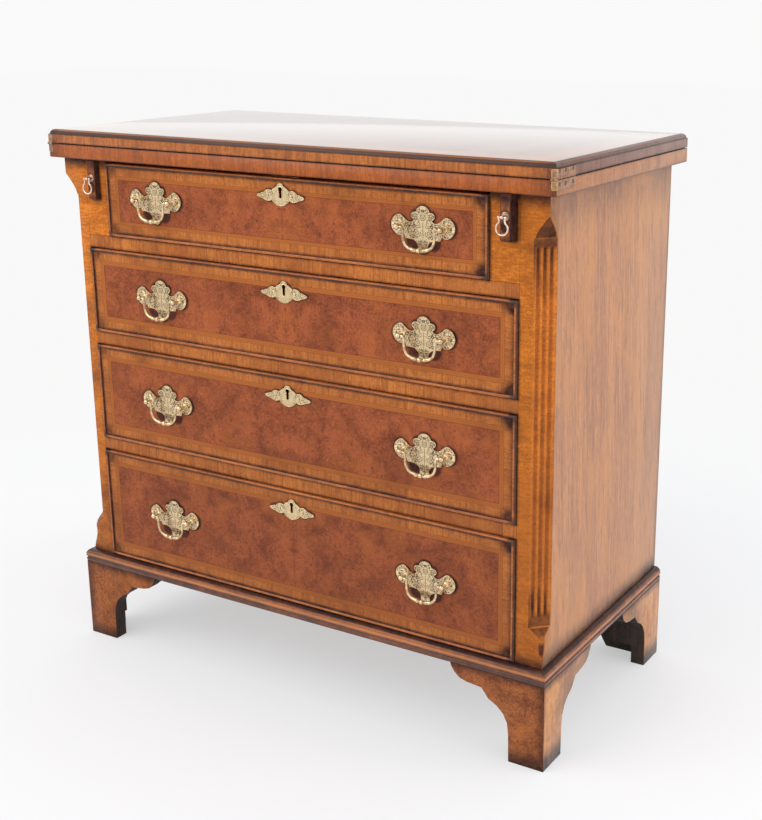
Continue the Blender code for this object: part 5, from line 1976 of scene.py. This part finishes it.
@dataclass
class Handles:
    """The drawer handles: chased back plates, ball-headed posts, swan-neck bails and the nuts behind."""

    finishes: Finishes
    axis_drop: float = 27 * MM
    half_width: float = 46.8 * MM
    height: float = 60 * MM
    thickness: float = 1.6 * MM
    post_length: float = 10.5 * MM
    half_spacing: float = 32 * MM
    ball_radius: float = 4.0 * MM
    stem_radius: float = 2.4 * MM
    bail_drop: float = 28.0 * MM
    bail_half: float = 23.5 * MM
    wire: float = 1.9 * MM
    pin_radius: float = 1.4 * MM
    pin_depth: float = 2.2 * MM
    rim: float = 0.9 * MM
    sunk: float = 0.3 * MM
    outline_shares: Profile = (
        (0.0, 0.45), (0.107, 0.427), (0.188, 0.367), (0.205, 0.32), (0.246, 0.313), (0.321, 0.3),
        (0.368, 0.258), (0.368, 0.208), (0.321, 0.167), (0.282, 0.143), (0.331, 0.11), (0.417, 0.095),
        (0.513, 0.122), (0.609, 0.183), (0.701, 0.238), (0.791, 0.237), (0.897, 0.188), (0.979, 0.103),
        (1.0, 0.008), (0.962, -0.083), (0.876, -0.162), (0.769, -0.203), (0.662, -0.2), (0.588, -0.173),
        (0.545, -0.257), (0.406, -0.263), (0.288, -0.283), (0.192, -0.333), (0.154, -0.4), (0.15, -0.467),
        (0.096, -0.53), (0.0, -0.55),
    )
    notches: tuple[int, ...] = (3, 9, 23, 24)
    bail_shares: tuple[tuple[float, float, float], ...] = (
        (1.12, 0.0, 0.8), (1.05, 0.02, 0.9), (1.0, 0.1, 0.95), (0.99, 0.36, 0.95), (0.96, 0.56, 1.0),
        (0.85, 0.77, 1.05), (0.64, 0.91, 1.15), (0.38, 0.98, 1.45), (0.26, 1.0, 1.35), (0.2, 1.0, 0.9),
        (0.0, 1.0, 0.9),
    )
    bead_profile: Profile = (
        (-4.6, 1.6), (-4.4, 2.3), (-3.9, 2.5), (-3.4, 2.2), (-3.1, 1.7), (-2.8, 2.4), (-1.8, 3.2), (0.0, 3.5),
        (1.8, 3.2), (2.8, 2.4), (3.1, 1.7), (3.4, 2.2), (3.9, 2.5), (4.4, 2.3), (4.6, 1.6),
    )
    ear_centre: tuple[float, float] = (36.4 * MM, 0.9 * MM)
    ear_ring: float = 6.4 * MM
    ribs: int = 15
    rib_reach: tuple[float, float] = (7.0 * MM, 9.4 * MM)
    fan: float = 216.0
    ear_wire: float = 0.42 * MM
    rib_radii: tuple[float, float] = (0.34 * MM, 0.5 * MM)
    engraved_wire: float = 0.34 * MM
    stamp_radius: float = 1.5 * MM
    foot_sunk: float = 0.4 * MM
    foot_steps: Profile = ((-2.2, 0.0), (-1.0, 1.6), (0.0, 2.0))
    bail_hole: tuple[float, float, float] = (-9 * MM, 2.8 * MM, 2.1 * MM)
    nut_ends: tuple[float, float, float] = (0.0, 2.4 * MM, 4.6 * MM)
    nut_arris: float = 0.3 * MM
    thread_ends: tuple[float, float, float] = (2 * MM, 5 * MM, 1.9 * MM)
    bead_groove: tuple[float, float] = (2.8 * MM, 3.4 * MM)
    middle_line: tuple[float, ...] = (-28, -12, 6)
    middle_rings: tuple[tuple[float, int], ...] = ((3.8, 17), (1.5, 9))
    middle_rise: float = 12 * MM
    stamps: tuple[tuple[float, float], ...] = ((31.2, 8.9), (14.4, 13.6), (12.6, -12.6), (0.0, 20.4), (0.0, -26.5))
    curls: tuple[tuple[float, float, float, float, float], ...] = (
        (7.5, 4.0, 5.2, -150, 120), (8.5, -7.5, 5.0, -200, 90), (17.5, -4.5, 5.6, -60, 200),
        (5.4, 21.0, 3.2, -120, 100), (4.6, -20.0, 3.0, -210, 60), (20.5, 2.6, 2.6, 20, 260),
        (12.6, 0.6, 2.2, -90, 150), (10.2, 10.6, 2.6, -30, 190),
    )

    def build(self) -> None:
        """Makes the eight handles."""
        for number in DRAWERS:
            inside = Place.of(f"drawer_front_{number}").high[1]
            for word, _ in SIDES:
                low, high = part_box(f"handle_plate_{number}_{word}")
                face_y = high[1] - self.thickness - self.post_length
                axis = ((low[0] + high[0]) / 2, face_y, high[2] - self.axis_drop)
                self.plate(number, word, axis, inside)
                self.bail(number, word, axis)

    def plate(self, number: int, word: str, axis: Point, inside: float) -> None:
        """Makes one back plate with its posts, rings, ribs, engraving and nuts.

        Args:
            number: The drawer's number.
            word: The handle's side.
            axis: The middle of the bail's axis.
            inside: The depth of the inner face of the drawer front.
        """
        half = smoothed([(self.half_width * x, self.height * z) for x, z in self.outline_shares], self.notches)
        front, surface = self.post_length, self.post_length + self.sunk
        plate = Blank.rimmed(mirrored(half), front, self.thickness, self.rim, self.sunk).paint_ground(surface)
        extras = self.engraving(surface)
        for _, side in SIDES:
            extras += [self.post(side), self.nut(side, inside - axis[1]), *self.ear(side, surface)]
        plate.join(*extras).map_plate().move(axis)
        done = self.finishes
        plate.finish(
            f"batwing_{number}_{word}", f"drawer_{number}", "antique_brass",
            [done.brass, done.chased, done.dirt_and_shade, done.pale_brass], [f"handle_plate_{number}_{word}"],
        )

    def post(self, side: int) -> Blank:
        """Makes one post: a ball on a stem, with the bail's hole in its inner side.

        Args:
            side: -1 for the left post and 1 for the right one.

        Returns:
            The post.
        """
        foot, stem = self.post_length + self.foot_sunk, self.stem_radius
        profile = ball_head(self.ball_radius, stem)
        profile += [(foot + along * MM, stem + out * MM) for along, out in self.foot_steps] + [(foot, 0.0)]
        hole = Blank.turned(rod(*self.bail_hole), Axis.ACROSS, 12).move((-self.ball_radius, 0.0, 0.0))
        post = Blank.turned(profile, Axis.DEPTH, 20).cut(hole)
        return post.move((self.half_spacing, 0.0, 0.0)).on_side(side).paint(3)

    def nut(self, side: int, inside: float) -> Blank:
        """Makes the round nut inside the drawer and the end of the post's thread.

        Args:
            side: -1 for the left post and 1 for the right one.
            inside: The depth of the inner face of the drawer front behind the bail's axis.

        Returns:
            The nut.
        """
        nut, thread = (
            Blank.turned(rod(inside + start, inside + end, radius), Axis.DEPTH, steps)
            for (start, end, radius), steps in ((self.nut_ends, 16), (self.thread_ends, 10))
        )
        return nut.ease(self.nut_arris, 1).join(thread).move((side * self.half_spacing, 0.0, 0.0)).paint(0)

    def ear(self, side: int, surface: float) -> list[Blank]:
        """Makes the ring on one ear of the plate and the fan of ribs round it.

        Args:
            side: -1 for the left ear and 1 for the right one.
            surface: The depth of the plate's ground.

        Returns:
            The ring and the ribs.
        """
        centre = (side * self.ear_centre[0], self.ear_centre[1])
        ring = laid(arc_points(centre, self.ear_ring, 0, 360, 25)[:-1], surface)
        pieces = [Blank.swept(ring, self.ear_wire, 6, closed=True).paint(3)]
        start = -self.fan / 2 if side > 0 else 180 - self.fan / 2
        ends = (arc_points(centre, reach, start, start + self.fan, self.ribs) for reach in self.rib_reach)
        for rib in zip(*ends):
            pieces.append(Blank.swept(laid(rib, surface), self.rib_radii, 6).paint(3))
        return pieces

    def engraving(self, surface: float) -> list[Blank]:
        """Makes the engraved scrolls and ring stamps as fine dark lines.

        Args:
            surface: The depth of the plate's ground.

        Returns:
            The lines.
        """
        lines = [[(0.0, 0.0, z * MM) for z in self.middle_line]]
        for radius, count in self.middle_rings:
            lines.append(arc_points((0.0, self.middle_rise), radius * MM, 0, 360, count))
        for _, side in SIDES:
            for x, z, radius, start, end in self.curls:
                curl = arc_points((x * MM, z * MM), radius * MM, start, end, 13)
                curl += arc_points((x * MM * 1.06, z * MM), radius * MM * 0.55, end, end + 200, 9)
                lines.append([(side * px, py, pz) for px, py, pz in curl])
            for x, z in self.stamps:
                if x or side > 0:
                    lines.append(arc_points((side * x * MM, z * MM), self.stamp_radius, 0, 360, 11))
        return [Blank.swept(laid(line, surface), self.engraved_wire, 4).paint(2) for line in lines]

    def bail(self, number: int, word: str, axis: Point) -> None:
        """Makes one bail: pins, swan necks and a grooved bead at the middle.

        Args:
            number: The drawer's number.
            word: The handle's side.
            axis: The middle of the bail's axis.
        """
        run = [(self.bail_half * x, -self.bail_drop * z, self.wire * r) for x, z, r in self.bail_shares]
        curve = smoothed([(x, z) for x, z, _ in run], steps=4)
        radii = smoothed([(i, r) for i, (_, _, r) in enumerate(run)], steps=4)
        tip = self.half_spacing - self.ball_radius + self.pin_depth
        path = both_sides([(tip, 0.0, 0.0)] + [(x, 0.0, z) for x, z in curve])
        sizes = [self.pin_radius] + [r for _, r in radii]
        bail = Blank.swept(path, sizes + sizes[-2::-1], 14)
        bead = Blank.turned(self.bead_profile, Axis.ACROSS, 18).transform(Matrix.Scale(MM, 4))
        bmesh.ops.holes_fill(bead.bm, edges=bead.bm.edges, sides=0)
        near, far = self.bead_groove
        bead.outward().paint(1)
        bead.paint(2, [f for f in bead.bm.faces if near < abs(f.calc_center_median().x) < far])
        bail.join(bead.move((0.0, 0.0, -self.bail_drop))).move(axis)
        done = self.finishes
        bail.finish(
            f"swan_neck_{number}_{word}", f"bail_{number}_{word}", "antique_brass",
            [done.brass, done.pale_brass, done.dirt_and_shade], [f"bail_{number}_{word}"], 60.0,
        )


@dataclass
class RingPulls:
    """The ring pulls of the lopers."""

    finishes: Finishes
    post_length: float = 8.5 * MM
    rose_proud: float = 0.3 * MM
    pin_hole: tuple[float, float, float] = (-5 * MM, 5 * MM, 1.4 * MM)
    stem_radius: float = 1.6 * MM
    ball_radius: float = 2.4 * MM
    rose_radius: float = 5.6 * MM
    rose_shares: Profile = ((-1.4, 0.55), (-0.9, 0.7), (-1.0, 0.82), (-0.5, 0.97), (0.0, 1.0), (0.0, 0.0))
    ring_half: float = 8.0 * MM
    ring_drop: float = 21.5 * MM
    bead_offset: float = 4.7 * MM
    bead_radius: float = 1.7 * MM
    pin_radius: float = 0.8 * MM
    wire: float = 1.25 * MM
    ring_shares: Profile = (
        (0.59, 0.0), (0.52, 0.12), (0.49, 0.22), (0.58, 0.323), (0.866, 0.442), (1.0, 0.628),
        (0.866, 0.814), (0.5, 0.95), (0.0, 1.0),
    )

    def build(self) -> None:
        """Makes both pulls."""
        for word, _ in SIDES:
            low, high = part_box(f"pull_post_{word}")
            axis = ((low[0] + high[0]) / 2, low[1] + self.ball_radius, (low[2] + high[2]) / 2)
            self.post(word, axis)
            self.ring(word, axis)

    def post(self, word: str, axis: Point) -> None:
        """Makes one post with its moulded rose.

        Args:
            word: The loper's side.
            axis: The middle of the ring's axis.
        """
        face = self.post_length - self.rose_proud
        rose = [(face + along * MM, self.rose_radius * share) for along, share in self.rose_shares]
        profile = [*ball_head(self.ball_radius, self.stem_radius), (rose[0][0], self.stem_radius), *rose]
        hole = Blank.turned(rod(*self.pin_hole), Axis.ACROSS, 12)
        post = Blank.turned(profile, Axis.DEPTH, 24).cut(hole).paint(1)
        post.paint(0, [f for f in post.bm.faces if f.calc_center_median().y < self.ball_radius])
        post.move(axis).finish(
            f"ring_rose_{word}", f"loper_{word}", "ring_copper", [self.finishes.copper, self.finishes.rose],
            [f"pull_post_{word}"],
        )

    def ring(self, word: str, axis: Point) -> None:
        """Makes one omega-shaped ring on its pin.

        Args:
            word: The loper's side.
            axis: The middle of the ring's axis.
        """
        curve = smoothed([(self.ring_half * x, -self.ring_drop * z) for x, z in self.ring_shares], steps=4)
        ring = Blank.swept(both_sides([(x, 0.0, z) for x, z in curve]), self.wire, 12)
        ball = [*ball_head(self.bead_radius, 0.0), (self.bead_radius, 0.0)]
        ring.join(
            Blank.turned(rod(-self.bead_offset, self.bead_offset, self.pin_radius), Axis.ACROSS, 10),
            *(Blank.turned(ball, Axis.ACROSS, 14).move((side * self.bead_offset, 0.0, 0.0)) for _, side in SIDES),
        )
        ring.move(axis).finish(
            f"omega_ring_{word}", f"ring_{word}", "ring_copper", [self.finishes.copper], [f"pull_ring_{word}"],
            60.0,
        )


@dataclass
class TopHinges:
    """The hinges at the front corners of the leaves, with their screws."""

    finishes: Finishes
    screw_radius: float = 2.1 * MM
    screw_places: tuple[float, ...] = (5.5 * MM, 21.5 * MM, 41.5 * MM)
    upper_level: float = 790.0 * MM
    lower_level: float = 774.5 * MM
    return_rim: float = 1.0 * MM
    return_area: float = 30 * MM * MM
    end_skin: float = 0.1 * MM
    knuckle_proud: float = 0.2 * MM
    screw_root: float = -0.2 * MM
    screw_profile: Profile = ((-0.2, 0.0), (-0.2, 1.0), (0.12, 1.0), (0.2, 0.8), (0.22, 0.0))
    hollow_proud: float = 0.06 * MM
    hollow_share: float = 1.22
    slot_half: float = 0.4 * MM
    slot_share: float = 0.9
    slot_depths: tuple[float, float] = (0.1 * MM, 0.26 * MM)

    def build(self) -> None:
        """Makes the plates of both hinges and their screws."""
        halves = (("lower", "carcase", self.lower_level), ("upper", "flap", self.upper_level))
        for word, side in SIDES:
            for half, body, level in halves:
                self.plate(f"{half}_{word}", side, body, level)

    def plate(self, place: str, side: int, body: str, level: float) -> None:
        """Makes one plate with its screws.

        Args:
            place: The words that name its node.
            side: -1 for the left end of the chest and 1 for the right one.
            body: The body that it moves with.
            level: The height of its screws.
        """
        done = self.finishes
        leaf_front = done.wood.plan.leaf_front
        node = f"hinge_plate_{place}"
        low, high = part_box(node)
        outer = high[0] if side > 0 else low[0]
        plate = Blank.copy_of(node).paint(0)
        plate.paint(1, plate.outer(side, abs(outer) - self.end_skin))
        faces = [f for f in plate.facing(FORWARD, FLAT) if f.calc_area() > self.return_area]
        plate.inset(faces, self.return_rim, 0.0)
        plate.paint(1, faces)
        proud = leaf_front - self.knuckle_proud
        plate.paint(1, [f for f in plate.bm.faces if f.calc_center_median().y < proud])
        plate.join(*(self.screw(side).move((outer, leaf_front + along, level)) for along in self.screw_places))
        plate.finish(
            f"hinge_leaf_{place}", body, "antique_brass",
            [done.yellow_brass if side > 0 else done.rose, done.patina, done.rust, done.dirt_and_shade], [node], 30.0,
        )

    def screw(self, side: int) -> Blank:
        """Makes one rusty screw head with its slot in a dark hollow, facing out of the chest's end.

        Args:
            side: -1 for the left end of the chest and 1 for the right one.

        Returns:
            The screw head.
        """
        radius, across, (inner, outer) = self.screw_radius, self.slot_half, self.slot_depths
        length = radius * self.slot_share
        profile = [(along * MM, radius * share) for along, share in self.screw_profile]
        head = Blank.turned(profile, Axis.ACROSS, 16).paint(2)
        ring = rod(self.screw_root, self.hollow_proud, radius * self.hollow_share)
        hollow = Blank.turned(ring, Axis.ACROSS, 16).paint(3)
        slot = Blank.block((inner, -across, -length), (outer, across, length)).paint(3)
        return head.join(hollow, slot).on_side(side)


# The studio


@dataclass(frozen=True)
class Softbox:
    """One rectangular light."""

    name: str
    place: Point
    target: Point
    size: tuple[float, float]
    power: float

    def hang(self) -> None:
        """Hangs the light so that it faces its target, unseen by the camera."""
        data = bpy.data.lights.new(self.name, "AREA")
        data.shape = "RECTANGLE"
        data.size, data.size_y = self.size
        data.energy = self.power
        light = place_in_scene(self.name, data)
        aim = (Vector(self.target) - Vector(self.place)).to_track_quat("-Z", "Y")
        light.matrix_world = Matrix.Translation(self.place) @ aim.to_matrix().to_4x4()
        light.visible_camera = False


@dataclass(frozen=True)
class Studio:
    """Camera, lights, floor and background."""

    lens: float = 58.33
    shift: tuple[float, float] = (-0.1005, -0.0421)
    place: Point = (1.0912, -1.5859, 0.979)
    azimuth: float = math.radians(30.16)
    elevation: float = math.radians(15.733)
    roll: float = math.radians(0.063)
    floor_colour: Colour = (0.935, 0.950, 0.985)
    backdrop: Colour = (0.943, 0.942, 0.941)
    floor_size: float = 14.0
    fade: tuple[float, float] = (0.60, 1.60)
    background: float = 0.95
    surroundings: float = 0.87
    softboxes: tuple[Softbox, ...] = (
        Softbox("front_softbox", (-1.6, -2.6, 2.6), (0.0, 0.0, 0.45), (3.2, 2.4), 48.0),
        Softbox("side_softbox", (3.0, 0.6, 1.7), (0.3, 0.0, 0.4), (2.0, 1.8), 26.0),
        Softbox("back_softbox", (-1.75, 2.9, 1.35), (0.0, 0.0, 0.8), (6.4, 2.4), 2.5),
    )

    def build(self) -> None:
        """Sets the whole studio."""
        self.camera()
        self.floor()
        self.world()
        for softbox in self.softboxes:
            softbox.hang()

    def camera(self) -> None:
        """Sets the camera where the photograph was taken from."""
        data = bpy.data.cameras.new("studio_camera")
        data.lens = self.lens
        data.sensor_width = 36.0
        data.shift_x, data.shift_y = self.shift
        data.clip_start = 0.05
        camera = place_in_scene("studio_camera", data)
        turn = (
            Matrix.Rotation(self.azimuth, 4, "Z") @ Matrix.Rotation(math.pi / 2 - self.elevation, 4, "X")
            @ Matrix.Rotation(self.roll, 4, "Z")
        )
        camera.matrix_world = Matrix.Translation(self.place) @ turn
        bpy.context.scene.camera = camera

    @staticmethod
    def seen(sheet: NodeSheet) -> Value:
        """Returns 1 for rays that show a thing to the camera, straight or in a reflection, and 0 for light."""
        rays = sheet.outputs(sheet.add("ShaderNodeLightPath", {}))
        return sheet.largest(*(rays[f"Is {kind} Ray"] for kind in ("Camera", "Glossy", "Transmission")))

    def floor(self) -> None:
        """Lays a pale floor that fades into the background away from the chest."""
        floor = Blank()
        bmesh.ops.create_grid(floor.bm, x_segments=2, y_segments=2, size=self.floor_size)
        mesh = floor.to_mesh("studio_floor")
        finish = Finish("studio_floor_paint", Polish(0.9, specular=0.1))
        finish.colour(self.floor_colour)
        share = finish.position.stretch(1.0, 1.0, 0.0).length().rise(*self.fade, 0.50) + 0.50
        paint = Value(finish, finish.shader.outputs[0])
        plain = finish.get("ShaderNodeEmission", 0, {"Color": self.backdrop})
        mix = finish.get("ShaderNodeMixShader", 0, {0: share * self.seen(finish), 1: paint, 2: plain})
        finish.feed(finish.tree.nodes["Material Output"].inputs["Surface"], mix)
        mesh.materials.append(finish.material)
        place_in_scene("studio_floor", mesh)

    def world(self) -> None:
        """Sets the plain white surroundings."""
        world = bpy.data.worlds.new("studio_world")
        bpy.context.scene.world = world
        world.use_nodes = True
        sheet = NodeSheet(world.node_tree)
        background = world.node_tree.nodes["Background"].inputs
        sheet.feed(background["Color"], (1.0, 1.0, 1.0))
        sheet.feed(background["Strength"], sheet.pick(self.seen(sheet), self.surroundings, self.background))


def clear_scene() -> None:
    """Removes what Blender starts with."""
    for item in list(bpy.data.objects):
        bpy.data.objects.remove(item, do_unlink=True)


def main() -> None:
    """Builds the chest and the studio in order."""
    logging.basicConfig(level=logging.INFO, format="%(name)s: %(message)s")
    clear_scene()
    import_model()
    drawers = [Place.of(f"drawer_front_{number}", number) for number in DRAWERS]
    finishes = Finishes(WoodRoom(FinishGroups(), ChestPlan.from_frame(), drawers))
    for craft in (Boards, DrawerFronts, Escutcheons, Handles, RingPulls, TopHinges):
        craft(finishes).build()
    Studio().build()
    bpy.context.scene.view_settings.view_transform = "Standard"


if __name__ == "__main__":
    main()
